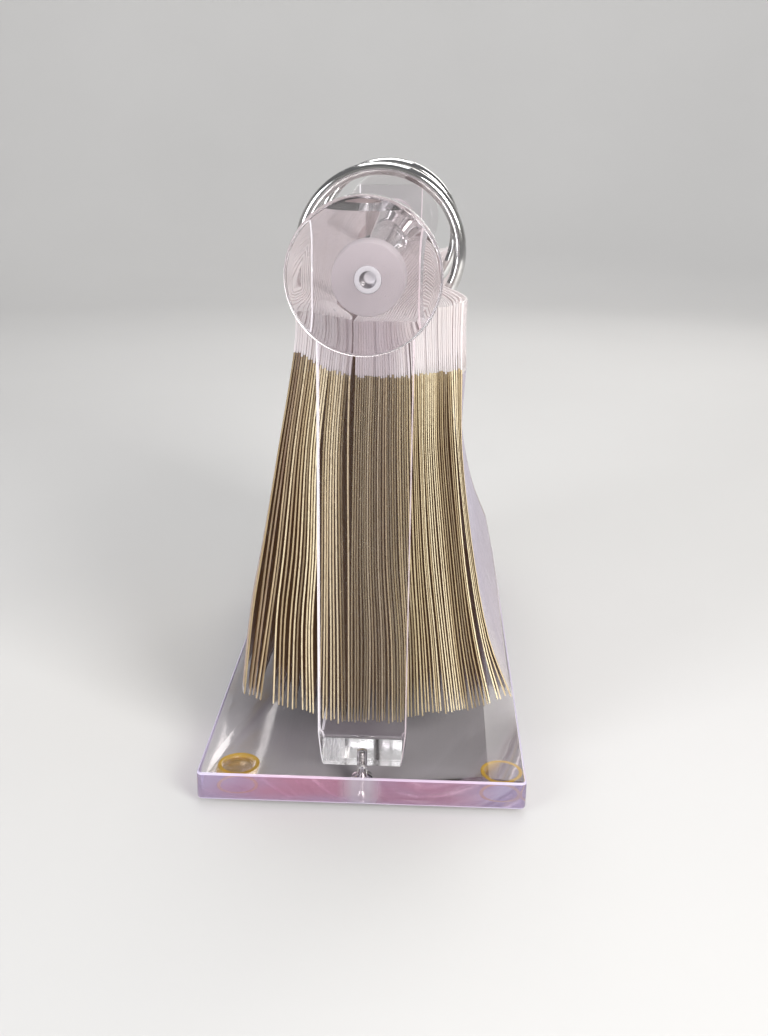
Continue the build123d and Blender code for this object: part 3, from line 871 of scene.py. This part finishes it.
def ring_path():
    """(x, z) about the axle: down the leg, round two bends, then round the ring."""
    leg_x, leg_z = -math.cos(LEG_TILT), -math.sin(LEG_TILT)
    leg_end = (LEG_REACH * leg_x, LEG_REACH * leg_z)
    bend = (leg_end[0] - LEG_BEND * leg_z, leg_end[1] + LEG_BEND * leg_x)
    bend_start = math.degrees(math.atan2(leg_end[1] - bend[1], leg_end[0] - bend[0])) % 360
    drop_x = bend[0] - LEG_BEND
    join_x = drop_x + JOIN_BEND
    join_z = -math.sqrt((RING_RADIUS - JOIN_BEND) ** 2 - join_x ** 2)
    ring_start = 360 + math.degrees(math.atan2(join_z, join_x))
    path = [(-LEG_START * leg_x, -LEG_START * leg_z), (0.0, 0.0), leg_end]
    path += arc(*bend, LEG_BEND, bend_start, 180.0, 14)[1:]
    path += [(drop_x, bend[1] + (join_z - bend[1]) * share) for share in (0.33, 0.66, 1.0)]
    path += arc(join_x, join_z, JOIN_BEND, 180.0, ring_start, 12)[1:]
    return path + arc(0, 0, RING_RADIUS, ring_start, 360 + 270 - RING_GAP, 170)[1:]


def wire_stations(path):
    """(point, direction, radius factor) along the wire, with both ends chamfered."""
    last = len(path) - 1

    def direction(i):
        before, after = path[max(i - 1, 0)], path[min(i + 1, last)]
        return Vector((after[0] - before[0], after[1] - before[1])).normalized()

    start, end = direction(0), direction(last)
    head = [(Vector(path[0]) + start * along, start, factor) for along, factor in WIRE_CHAMFER]
    tail = [(Vector(path[-1]) - end * along, end, factor) for along, factor in WIRE_CHAMFER]
    return head + [(path[i], direction(i), 1.0) for i in range(1, last)] + tail[::-1]


def rings():
    stations = wire_stations(ring_path())
    size = len(stations), WIRE_SIDES
    for ring, y in (("front_ring", -RING_Y), ("rear_ring", RING_Y)):
        verts = []
        for point, along, factor in stations:
            normal = Vector((-along[1], along[0]))
            for i in range(WIRE_SIDES):
                a = 2 * math.pi * i / WIRE_SIDES
                u = WIRE_RADIUS * factor * math.cos(a)
                v = WIRE_RADIUS * factor * math.sin(a)
                verts.append((AXLE_X + point[0] + normal[0] * u, y + v,
                              AXLE_Z + point[1] + normal[1] * u))
        ob = make(ring + "_chrome_rod", verts, tube_sides(*size) + tube_caps(*size),
                  [M_CHROME], sharp=50)
        register(ob, "spindle", ring, "chrome")


# ------------------------------------------------------------------ cards
# Sheets run along Y and hang down; t is the distance down a sheet from its top edge.
KNOTS = np.array([0.0, 10.0, 21.5, 53.5, 94.5, 124.0, 158.0])
# For each group, from left to right:
#   count    number of cards
#   sag      how far the lower edges hang below a straight line in mid-group
#   lean     spacing: above 0, the first cards stand further apart
#   full     share of the spacing that a sleeve fills
#   deep, olive  edge tones: value at the first card, change across the group
#   curves   (x, z) at each knot: first and last card at mid-length, then at the free ends
GROUPS = {
    # the left group's change in deep, darker at its far-left cards, is painted shade
    "left": dict(count=24, sag=1.5, lean=0.9, full=0.68, deep=(0.68, -0.58), olive=(0.0, 0.15),
                 curves=[
        [(-20.4, 191.0), (-11.5, 188.0), (-25.8, 191.5), (-5.3, 188.0)],
        [(-20.9, 181.0), (-11.3, 177.5), (-25.5, 181.0), (-5.2, 178.0)],
        [(-25.0, 169.5), (-8.8, 167.0), (-26.8, 169.2), (-6.2, 166.5)],
        [(-31.5, 137.0), (-6.8, 137.0), (-32.2, 137.0), (-6.6, 137.0)],
        [(-38.5, 97.0), (-6.1, 94.0), (-38.7, 97.0), (-6.1, 94.0)],
        [(-42.8, 72.0), (-5.9, 61.0), (-42.8, 72.0), (-5.8, 61.0)],
        [(-46.9, 36.5), (-5.7, 27.3), (-46.9, 36.4), (-5.6, 27.2)]]),
    "middle": dict(count=24, sag=0.2, lean=0.0, full=0.74, deep=(0.62, 0.0), olive=(0.75, -0.3),
                   curves=[
        [(-3.2, 187.5), (10.6, 187.8), (-4.0, 187.5), (13.4, 187.8)],
        [(-3.3, 177.0), (11.2, 177.5), (-3.9, 177.0), (14.0, 178.0)],
        [(-3.6, 166.2), (15.0, 166.7), (-3.9, 166.3), (15.0, 166.7)],
        [(-4.2, 137.0), (16.2, 137.8), (-4.4, 137.2), (16.2, 137.8)],
        [(-4.6, 94.0), (18.6, 94.8), (-4.7, 94.0), (18.6, 94.8)],
        [(-4.6, 61.0), (21.0, 65.0), (-4.6, 61.0), (21.2, 63.0)],
        [(-4.5, 27.5), (23.5, 29.0), (-4.4, 27.3), (23.5, 29.0)]]),
    "right": dict(count=21, sag=0.8, lean=-0.5, full=0.56, deep=(0.40, 0.0), olive=(0.25, -0.25),
                  curves=[
        [(11.6, 188.0), (22.0, 190.5), (14.6, 188.5), (29.4, 190.5)],
        [(12.2, 178.0), (22.8, 181.0), (15.3, 178.0), (29.5, 181.0)],
        [(16.2, 167.0), (29.6, 168.5), (16.1, 166.8), (30.2, 168.2)],
        [(17.4, 137.8), (32.6, 138.2), (17.3, 137.8), (32.6, 138.2)],
        [(19.8, 94.8), (37.5, 95.4), (19.7, 94.8), (37.5, 95.4)],
        [(22.3, 65.0), (42.8, 65.0), (22.4, 63.0), (43.1, 63.5)],
        [(24.9, 30.0), (49.9, 35.5), (24.8, 30.0), (49.9, 35.2)]]),
    "outer": dict(count=4, sag=0.0, lean=0.0, full=0.58, deep=(0.0, 0.0), olive=(0.0, 0.0),
                  curves=[
        [(22.9, 191.0), (24.7, 192.0), (30.4, 191.0), (33.1, 192.0)],
        [(23.7, 181.5), (25.7, 182.5), (30.5, 181.5), (33.0, 182.0)],
        [(30.6, 169.0), (33.0, 169.5), (31.0, 168.8), (33.4, 169.2)],
        [(33.6, 138.2), (35.2, 138.2), (33.5, 138.2), (35.0, 138.2)],
        [(39.4, 95.4), (41.5, 95.4), (39.4, 95.4), (41.2, 95.4)],
        [(45.2, 65.0), (48.1, 65.0), (45.4, 63.5), (48.1, 63.7)],
        [(52.8, 37.0), (58.0, 39.6), (52.8, 36.6), (57.9, 39.4)]]),
}
HALF_LENGTH = 110.0
SLOT_INNER, SLOT_OUTER = 27.7, 35.7    # radii about the axle between which the slots lie
SLOT_LENGTH, SLOT_CORNER = 8.4, 2.4
SLOT_BLOCK = 6                         # cells each way in the block that holds a slot
BLOCK_HALF, BLOCK_MARGIN = 6.6, 1.3    # its half-length in Y, its margin in t
HEADER_THICK = 0.30
LOOSENESS = [0.15, 0.15, 0.35, 0.55, 0.62, 0.68, 0.75]        # uneven spacing at each knot
BREATHING = np.array([0, 0, 0.05, 0.25, 0.4, 0.5, 0.5])       # waviness in X at each knot
BODY_T = [28, 35, 44, 53.5, 64, 75, 86, 96, 106, 115, 124, 133, 141, 148, 153]


def spread(widths, thick, group, draw):
    """Each card's place across the group at each knot, 0 to 1.

    Places are uneven, in order, and never closer than a sheet.
    """
    gaps = group["count"] - 1
    places = np.zeros((gaps + 1, len(widths)))
    walk = np.array([draw.gauss(0, 1) for _ in range(gaps)])
    wide = np.array([1.1 if draw.random() < 0.12 else 0.0 for _ in range(gaps)])
    lean = 1.0 + group["lean"] * (0.5 - np.arange(gaps) / (gaps - 1))
    for i, width in enumerate(widths):
        walk = 0.72 * walk + 0.69 * np.array([draw.gauss(0, 1) for _ in range(gaps)])
        weights = np.exp(LOOSENESS[i] * (walk + wide)) * lean
        least = min(thick[i] * 1.05 / (width / gaps), 0.95)
        steps = least / gaps + (1 - least) * weights / weights.sum()
        places[1:, i] = np.cumsum(steps)
        places[:, i] /= places[-1, i]
    return places


def hermite(points, ts):
    """Smooth curve through points (..., knots, 2), evaluated at ts."""
    slopes = np.zeros_like(points)
    slopes[..., 1:-1, :] = ((points[..., 2:, :] - points[..., :-2, :])
                            / (KNOTS[2:] - KNOTS[:-2])[:, None])
    slopes[..., 0, :] = (points[..., 1, :] - points[..., 0, :]) / (KNOTS[1] - KNOTS[0])
    slopes[..., -1, :] = (points[..., -1, :] - points[..., -2, :]) / (KNOTS[-1] - KNOTS[-2])
    i = np.clip(np.searchsorted(KNOTS, ts, side="right") - 1, 0, len(KNOTS) - 2)
    step = KNOTS[i + 1] - KNOTS[i]
    s = ((ts - KNOTS[i]) / step)[:, None]
    step = step[:, None]
    return ((2 * s**3 - 3 * s**2 + 1) * points[..., i, :]
            + (s**3 - 2 * s**2 + s) * step * slopes[..., i, :]
            + (-2 * s**3 + 3 * s**2) * points[..., i + 1, :]
            + (s**3 - s**2) * step * slopes[..., i + 1, :])


def end_weight(ys):
    """0 between the rings and 1 at the free ends, as a column."""
    return smooth(52.0, 106.0, np.abs(ys))[:, None]


class Group:
    """The shape and tones of one group of cards."""

    def __init__(self, name, spec, seed):
        self.name, self.spec, self.count = name, spec, spec["count"]
        curves = np.array(spec["curves"]).transpose(1, 0, 2)
        self.mid, self.end = curves[:2], curves[2:]
        draw = random.Random(seed)
        mid_width = np.abs(self.mid[1, :, 0] - self.mid[0, :, 0])
        end_width = np.abs(self.end[1, :, 0] - self.end[0, :, 0])
        mid_pitch, end_pitch = mid_width / (self.count - 1), end_width / (self.count - 1)
        self.mid_thick = np.clip(spec["full"] * mid_pitch, 0.30, 0.78)
        self.end_thick = np.clip(spec["full"] * end_pitch, 0.30, 0.78)
        self.mid_thick[:2] = HEADER_THICK
        self.end_thick[:2] = np.clip(0.90 * end_pitch[:2], HEADER_THICK, 0.85)
        self.end_thick[2] = np.clip(0.88 * end_pitch[2], 0.30, 0.85)
        self.mid_place = spread(mid_width, self.mid_thick, spec, draw)
        self.front_place = spread(end_width, self.end_thick, spec, draw)
        self.rear_place = spread(end_width, self.end_thick, spec, draw)
        if name == "left":
            # the group's last card, next to the middle group, hangs a little apart
            for i, gap in ((3, 2.4), (4, 2.4), (5, 1.9)):
                for places, width in ((self.mid_place, mid_width),
                                      (self.front_place, end_width),
                                      (self.rear_place, end_width)):
                    places[:-1, i] *= (1 - gap / width[i]) / places[-2, i]
        cards = range(self.count)
        # the welds climb towards the far left card
        climb = [(1 - k / (self.count - 1)) if name == "left" else 0.0 for k in cards]
        self.weld = [22.0 + draw.uniform(-0.2, 1.3) - 5.0 * share ** 1.6 for share in climb]
        self.front_shift = [draw.uniform(-0.40, 0.40) for _ in cards]
        self.rear_shift = [draw.uniform(-0.8, 0.8) for _ in cards]
        self.low = [draw.gauss(0, 0.38) for _ in cards]
        self.tone = self.edge_tones(draw)

    def edge_tones(self, draw):
        """How deep, brown and olive each card's edge is; neighbours are alike. In the left group
        the edges darken and turn brown towards the far-left card as painted shade.
        """
        left = self.name == "left"
        (deep_first, deep_change), (olive_first, olive_change) = (
            self.spec["deep"], self.spec["olive"])
        walk, tones = 0.0, []
        for k in range(self.count):
            u = k / (self.count - 1)
            walk = 0.6 * walk + 0.8 * draw.gauss(0, 1)
            # painted shade: in the left group, deep falls and brown fades from the far-left card
            # towards the middle; its last card, next to the middle group, gets none
            deep = deep_first + deep_change * u + 0.34 * walk + 0.22 * draw.gauss(0, 1)
            if left:
                brown = max(0.0, 1.0 - 2.0 * u) * draw.uniform(0.4, 1.0)
            else:
                brown = draw.uniform(0.0, 0.25)
            olive = (olive_first + olive_change * u) * draw.uniform(0.6, 1.2)
            if left and k == self.count - 1:
                deep, brown = 0.1, 0.0
            if k == 0:
                brown *= 0.2
            tones.append((min(max(deep, 0.0), 1.0), brown, min(olive, 1.0), 1.0))
        return tones

    def control(self, k, ys):
        """Control points (ys, knots, 2) of card k."""
        body = smooth(6.0, 108.0, np.abs(ys))[:, None]
        to_end = np.concatenate([np.repeat(end_weight(ys), 3, 1), np.repeat(body, 4, 1)], 1)
        end_place = np.where((ys < 0)[:, None], self.front_place[k], self.rear_place[k])
        place = self.mid_place[k] * (1 - to_end) + end_place * to_end
        first, last = (mid * (1 - to_end[..., None]) + end * to_end[..., None]
                       for mid, end in zip(self.mid, self.end))
        points = first * (1 - place[..., None]) + last * place[..., None]
        points[:, -1, 1] += (-self.spec["sag"] * (1 - (2 * place[:, -1] - 1) ** 2)
                             + self.low[k])
        # the pack breathes a little along its length
        points[:, :, 0] += BREATHING * np.sin(ys / 37.0 + 0.6)[:, None]
        if self.name == "outer":
            # the outermost header strips stand out a little at the front end
            flare = ((1 - np.exp(-(ys + HALF_LENGTH + 0.5) / 6.0))
                     * (1 - smooth(-88.0, -54.0, ys)))
            points[:, :3, 0] += (place[:, :3] ** 2) * 2.4 * flare[:, None]
        if self.name == "left":
            # the lower parts swing out to the left, except at the front end
            swing = (1 - place) ** 2 * np.array([0, 0, 0.0, 0.5, 1.6, 2.6, 3.1])
            points[:, :, 0] -= swing * (1 - np.exp(-(ys + HALF_LENGTH + 1.0) / 7.0))[:, None]
        return points

    def thick(self, ys, ts):
        """Sleeve thickness (ys, ts): thin in the headers, fuller at the free ends."""
        weight = end_weight(ys)
        return (np.interp(ts, KNOTS, self.mid_thick) * (1 - weight)
                + np.interp(ts, KNOTS, self.end_thick) * weight)

    def slot_range(self, k):
        """Where the slot starts and ends in t, so that the ring passes through it."""
        ts = np.linspace(0.5, 24.0, 400)
        points = hermite(self.control(k, np.array([RING_Y])), ts)[0]
        radius = np.hypot(points[:, 0] - AXLE_X, points[:, 1] - AXLE_Z)
        inside = ts[(radius > SLOT_INNER) & (radius < SLOT_OUTER)]
        return float(inside.min()), float(inside.max())

    def surface(self, k, ys, ts):
        """Centre points (ys, ts, 2) of card k and unit normals in the XZ plane."""
        points = self.control(k, ys)
        along = hermite(points, ts + 0.4) - hermite(points, ts - 0.4)
        along /= np.linalg.norm(along, axis=-1, keepdims=True)
        normals = np.stack([-along[..., 1], along[..., 0]], -1)
        return hermite(points, ts), normals


class Sheets:
    """Collects the sheets of one object; uvs are (y, t) in metres."""

    def __init__(self):
        self.verts, self.faces, self.mats, self.uvs, self.tones = [], [], [], [], []

    def add_face(self, face, mat):
        self.faces.append(face)
        self.mats.append(mat)

    def add_sheet(self, centre, offset, ys, ts, face_mats, wall_mats, holes=(), turned=False):
        """Adds both faces of a sheet and its edge walls; materials are listed per t.

        holes lists the cells left open. turned reverses the second face's winding.
        Returns a function that gives a vertex's index from its side, row and column.
        """
        rows, columns = len(ys), len(ts)
        base = len(self.verts)
        for side in (1, -1):
            points = centre + side * offset
            self.verts += [(points[i, j, 0], ys[i], points[i, j, 1])
                           for i in range(rows) for j in range(columns)]
            self.uvs += [(y * MM, t * MM) for y in ys for t in ts]

        def index(side, i, j):
            return base + (0 if side > 0 else rows * columns) + i * columns + j

        for side in (1, -1):
            for i in range(rows - 1):
                for j in range(columns - 1):
                    if (i, j) in holes:
                        continue
                    face = (index(side, i, j), index(side, i + 1, j),
                            index(side, i + 1, j + 1), index(side, i, j + 1))
                    self.add_face(face[::-1] if turned and side < 0 else face, face_mats[j])
        border = outline(0, 0, rows - 1, columns - 1)
        for a, b in zip(border, border[1:] + border[:1]):
            self.add_face((index(1, *a), index(-1, *a), index(-1, *b), index(1, *b)),
                          wall_mats[min(a[1], b[1])])
        return index

    def fill_tones(self, tone):
        """Gives a tone to the vertices added since the last call."""
        self.tones += [tone] * (len(self.verts) - len(self.tones))

    def finish(self, name, mats):
        return make(name, self.verts, self.faces, mats, self.mats, self.uvs, self.tones,
                    sharp=50)


def outline(i, j, rows, columns):
    """The grid points around a block of cells that starts at (i, j)."""
    return ([(i + n, j) for n in range(rows)]
            + [(i + rows, j + n) for n in range(columns)]
            + [(i + rows - n, j + columns) for n in range(rows)]
            + [(i, j + columns - n) for n in range(columns)])


FILM, HEADER, FILM_EDGE, HEADER_EDGE = range(4)    # material slots of the sleeves
TAN, WHITE, PAPER_EDGE = range(3)                  # material slots of the inserts


def slot_outline(border, ys, ts, slot):
    """Moves a block's (row, column) border onto a rounded slot; gives its middle y, ys and ts."""
    block_ys, block_ts = ([ys[i] for i, _ in border], [ts[j] for _, j in border])
    y_mid, t_mid = (min(block_ys) + max(block_ys)) / 2, (slot[0] + slot[1]) / 2
    half_y, half_t = SLOT_LENGTH / 2, (slot[1] - slot[0]) / 2
    core_y, core_t = half_y - SLOT_CORNER, half_t - SLOT_CORNER
    points = []
    for y, t in zip(block_ys, block_ts):
        u = (y - y_mid) / (max(block_ys) - y_mid) * half_y
        v = (t - t_mid) / (max(block_ts) - t_mid) * half_t
        over_u, over_v = abs(u) - core_y, abs(v) - core_t
        if over_u > 0 and over_v > 0:
            length = math.hypot(over_u, over_v)
            u = math.copysign(core_y + over_u / length * SLOT_CORNER, u)
            v = math.copysign(core_t + over_v / length * SLOT_CORNER, v)
        points.append((y_mid + u, t_mid + v))
    return y_mid, *np.array(points).T


def add_slot(group, k, sheets, index, border, rim):
    """Joins the sheet around a block to the slot's rounded rim."""
    y_mid, rim_y, rim_t = rim
    centre, normals = group.surface(k, np.array([y_mid]), rim_t)
    ids = {}
    for side in (1, -1):
        start = len(sheets.verts)
        ids[side] = range(start, start + len(border))
        points = centre[0] + side * normals[0] * HEADER_THICK / 2
        sheets.verts += [(p[0], y, p[1]) for p, y in zip(points, rim_y)]
        sheets.uvs += [(y * MM, t * MM) for y, t in zip(rim_y, rim_t)]
    for a in range(len(border)):
        b = (a + 1) % len(border)
        for side in (1, -1):
            sheets.add_face((index(side, *border[a]), index(side, *border[b]),
                             ids[side][b], ids[side][a]), HEADER)
        sheets.add_face((ids[1][a], ids[1][b], ids[-1][b], ids[-1][a]), HEADER_EDGE)


def add_sleeve(group, k, sheets):
    """A sleeve: slotted header strip, weld, and a pocket with flat margins."""
    slot = group.slot_range(k)
    block_top, block_foot = slot[0] - BLOCK_MARGIN, slot[1] + BLOCK_MARGIN
    header_ts = list(np.linspace(0.0, block_top, 4))[:-1]
    weld = max(group.weld[k], block_foot + 0.4)
    ts = np.array(header_ts + list(np.linspace(block_top, block_foot, SLOT_BLOCK + 1))
                  + [weld, weld + 0.9, weld + 2.4]
                  + [t for t in BODY_T + [156.4, 157.3, 158] if t > weld + 3.4])

    def block(y):
        return list(np.linspace(y - BLOCK_HALF, y + BLOCK_HALF, SLOT_BLOCK + 1))

    front = -HALF_LENGTH + group.front_shift[k]
    rear = HALF_LENGTH + group.rear_shift[k]
    front_ys = [front, front + 0.7, front + 1.8, -104, -98, -90, -80, -70, -60]
    middle_ys = [-25, -12, 0, 12, 25]
    ys = np.array(front_ys + block(-RING_Y) + middle_ys + block(RING_Y)
                  + [60, 70, 80, 90, 98, 104, rear - 1.8, rear - 0.7, rear])
    front_block = len(front_ys)
    block_rows = (front_block, front_block + SLOT_BLOCK + 1 + len(middle_ys))
    block_column = len(header_ts)

    centre, normals = group.surface(k, ys, ts)
    thick = group.thick(ys, ts)
    # the pocket thins out towards its foot and its front end
    pocket = smooth(-0.6, 2.2, 157.4 - ts) * smooth(-1.2, 2.0, ys - front)[:, None]
    thick = np.where(ts > weld, 0.62 * thick + 0.38 * thick * pocket, thick)
    thick[:, np.abs(ts - weld) < 0.01] *= 0.80
    holes = {(row + i, block_column + j) for row in block_rows
             for i in range(SLOT_BLOCK) for j in range(SLOT_BLOCK)}
    in_header = ts < weld - 0.01
    index = sheets.add_sheet(centre, normals * thick[..., None] / 2, ys, ts,
                             np.where(in_header, HEADER, FILM),
                             np.where(in_header, HEADER_EDGE, FILM_EDGE), holes, turned=True)
    for row in block_rows:
        border = outline(row, block_column, SLOT_BLOCK, SLOT_BLOCK)
        add_slot(group, k, sheets, index, border, slot_outline(border, ys, ts, slot))


def add_insert(group, k, sheets):
    """The card inside a sleeve; the outermost one is white."""
    front = -HALF_LENGTH + group.front_shift[k] + 1.15
    rear = HALF_LENGTH - 3.0 + 0.6 * group.rear_shift[k]
    ys = np.array([front, front + 0.8, -104, -96, -86, -75, -64, -52, -38, -24, -10, 4, 18, 32,
                   46, 60, 74, 86, 96, 103, rear])
    top = max(group.weld[k], group.slot_range(k)[1] + 1.7) + 1.6
    ts = np.array([top, *BODY_T, 155.6])
    centre, normals = group.surface(k, ys, ts)
    thick = group.thick(ys, ts)[..., None] * 0.62 - 0.06
    white = group.name == "outer" and k == group.count - 1
    sheets.add_sheet(centre, normals * thick / 2, ys, ts,
                     [WHITE if white else TAN] * len(ts), [PAPER_EDGE] * len(ts))


def cards():
    for seed, (name, spec) in enumerate(GROUPS.items(), start=100):
        group = Group(name, spec, seed)
        film = M_FILM_OUTER if name == "outer" else M_FILM
        for add, label, node, mats, slot in (
                (add_sleeve, "_vinyl_sleeves", "_sleeves",
                 [film, M_HEADER, M_CARD_EDGE, M_HEADER_EDGE], "clear_vinyl"),
                (add_insert, "_card_inserts", "_inserts",
                 [M_PAPER, M_PAPER_WHITE, M_CARD_EDGE], "card_paper")):
            sheets = Sheets()
            for k in range(group.count):
                add(group, k, sheets)
                sheets.fill_tones(group.tone[k])
            register(sheets.finish(name + label, mats), name + "_cards", name + node, slot)


# ------------------------------------------------------------------ studio
FLOOR_FLAT, FLOOR_COVE, FLOOR_WALL = 1300, 700, 1500.0   # flat radius, cove radius, wall top
FLOOR_SEGMENTS = 96


def studio_floor():
    """A round floor that curves up into a wall."""
    net = Net("studio_floor")
    patch = net.noise(net.coords(), scale=3.0, detail=2.0)
    dark, light = (0.60, 0.595, 0.59), (0.62, 0.615, 0.61)
    colour = net.mix(net.remap(patch, span=(0.3, 0.7)), dark, light)
    mat = net.done(net.bsdf("Principled", Base_Color=colour, Roughness=0.65))
    profile = [(radius, 0.0) for radius in (300.0, 800.0, 1290.0, FLOOR_FLAT)]
    for angle in range(6, 91, 6):
        a = math.radians(angle)
        profile.append((FLOOR_FLAT + FLOOR_COVE * math.sin(a),
                        FLOOR_COVE - FLOOR_COVE * math.cos(a)))
    profile.append((FLOOR_FLAT + FLOOR_COVE, FLOOR_WALL))
    turns = [2 * math.pi * i / FLOOR_SEGMENTS for i in range(FLOOR_SEGMENTS)]
    verts = [(r * math.cos(a), r * math.sin(a), z) for r, z in profile for a in turns]
    faces = [(b, a, d, c) for a, b, c, d in tube_sides(len(profile), FLOOR_SEGMENTS)]
    faces.append(tuple(range(FLOOR_SEGMENTS)))
    mesh = mesh_from_mm("studio_floor", verts, faces)
    mesh.shade_smooth()
    mesh.materials.append(mat)
    link("studio_floor", mesh)


def softbox(name, at, size, power, colour, look=(0.0, 0.0, 0.11)):
    light = bpy.data.lights.new(name, "AREA")
    light.shape = "RECTANGLE"
    light.size, light.size_y = size
    light.energy = power
    light.color = colour
    ob = bpy.data.objects.new(name, light)
    ob.location = at
    ob.rotation_mode = "QUATERNION"
    ob.rotation_quaternion = (Vector(look) - Vector(at)).to_track_quat("-Z", "Y")
    ob.visible_camera = False
    bpy.context.scene.collection.objects.link(ob)


def lights():
    softbox("key", at=(0.68, -0.92, 0.66), size=(0.50, 0.60), power=17.0,
            colour=(1.0, 0.985, 0.96))
    softbox("fill", at=(-0.78, -0.85, 0.46), size=(0.45, 0.70), power=8.0,
            colour=(0.95, 0.97, 1.0))
    softbox("top", at=(0.0, 0.15, 1.25), size=(0.7, 0.9), power=6.5, colour=(1.0, 1.0, 1.0))
    softbox("back", at=(0.45, 1.05, 0.75), size=(0.6, 0.35), power=3.0,
            colour=(1.0, 0.97, 0.93))
    softbox("backdrop", at=(0.0, 0.75, 1.45), size=(1.6, 0.4), power=9.0,
            colour=(1.0, 1.0, 1.0), look=(0.0, 2.2, 0.35))


def world_and_render():
    scene = bpy.context.scene
    world = bpy.data.worlds.new("studio")
    world.use_nodes = True
    background = world.node_tree.nodes["Background"]
    background.inputs["Color"].default_value = (0.93, 0.94, 0.96, 1.0)
    background.inputs["Strength"].default_value = 0.20
    scene.world = world
    scene.view_settings.view_transform = "Standard"
    scene.cycles.max_bounces = 24
    scene.cycles.transmission_bounces = 18
    scene.cycles.transparent_max_bounces = 40
    scene.cycles.glossy_bounces = 16
    scene.cycles.diffuse_bounces = 6
    scene.cycles.caustics_refractive = False
    scene.cycles.caustics_reflective = False


CAMERA_AT = (0.020648, -0.516703, 0.247215)
# radians: yaw turns from +Y towards +X, pitch looks down, roll turns about the view
YAW, PITCH, ROLL = -0.0344, 0.3225, -0.0149


def camera():
    forward = Vector((math.sin(YAW) * math.cos(PITCH), math.cos(YAW) * math.cos(PITCH),
                      -math.sin(PITCH)))
    level = Vector((math.cos(YAW), -math.sin(YAW), 0.0))
    below = forward.cross(level)
    right = level * math.cos(ROLL) + below * math.sin(ROLL)
    down = level * -math.sin(ROLL) + below * math.cos(ROLL)
    data = bpy.data.cameras.new("camera")
    data.sensor_width = 36.0
    data.lens = 39.85
    data.clip_start, data.clip_end = 0.01, 50.0
    ob = link("camera", data)
    rows = [(right[i], -down[i], -forward[i], CAMERA_AT[i]) for i in range(3)]
    ob.matrix_world = Matrix((*rows, (0.0, 0.0, 0.0, 1.0)))
    bpy.context.scene.camera = ob


base_plate()
feet()
stand_strip()
stand_screws()
axle()
knobs()
rings()
cards()
studio_floor()
lights()
world_and_render()
camera()
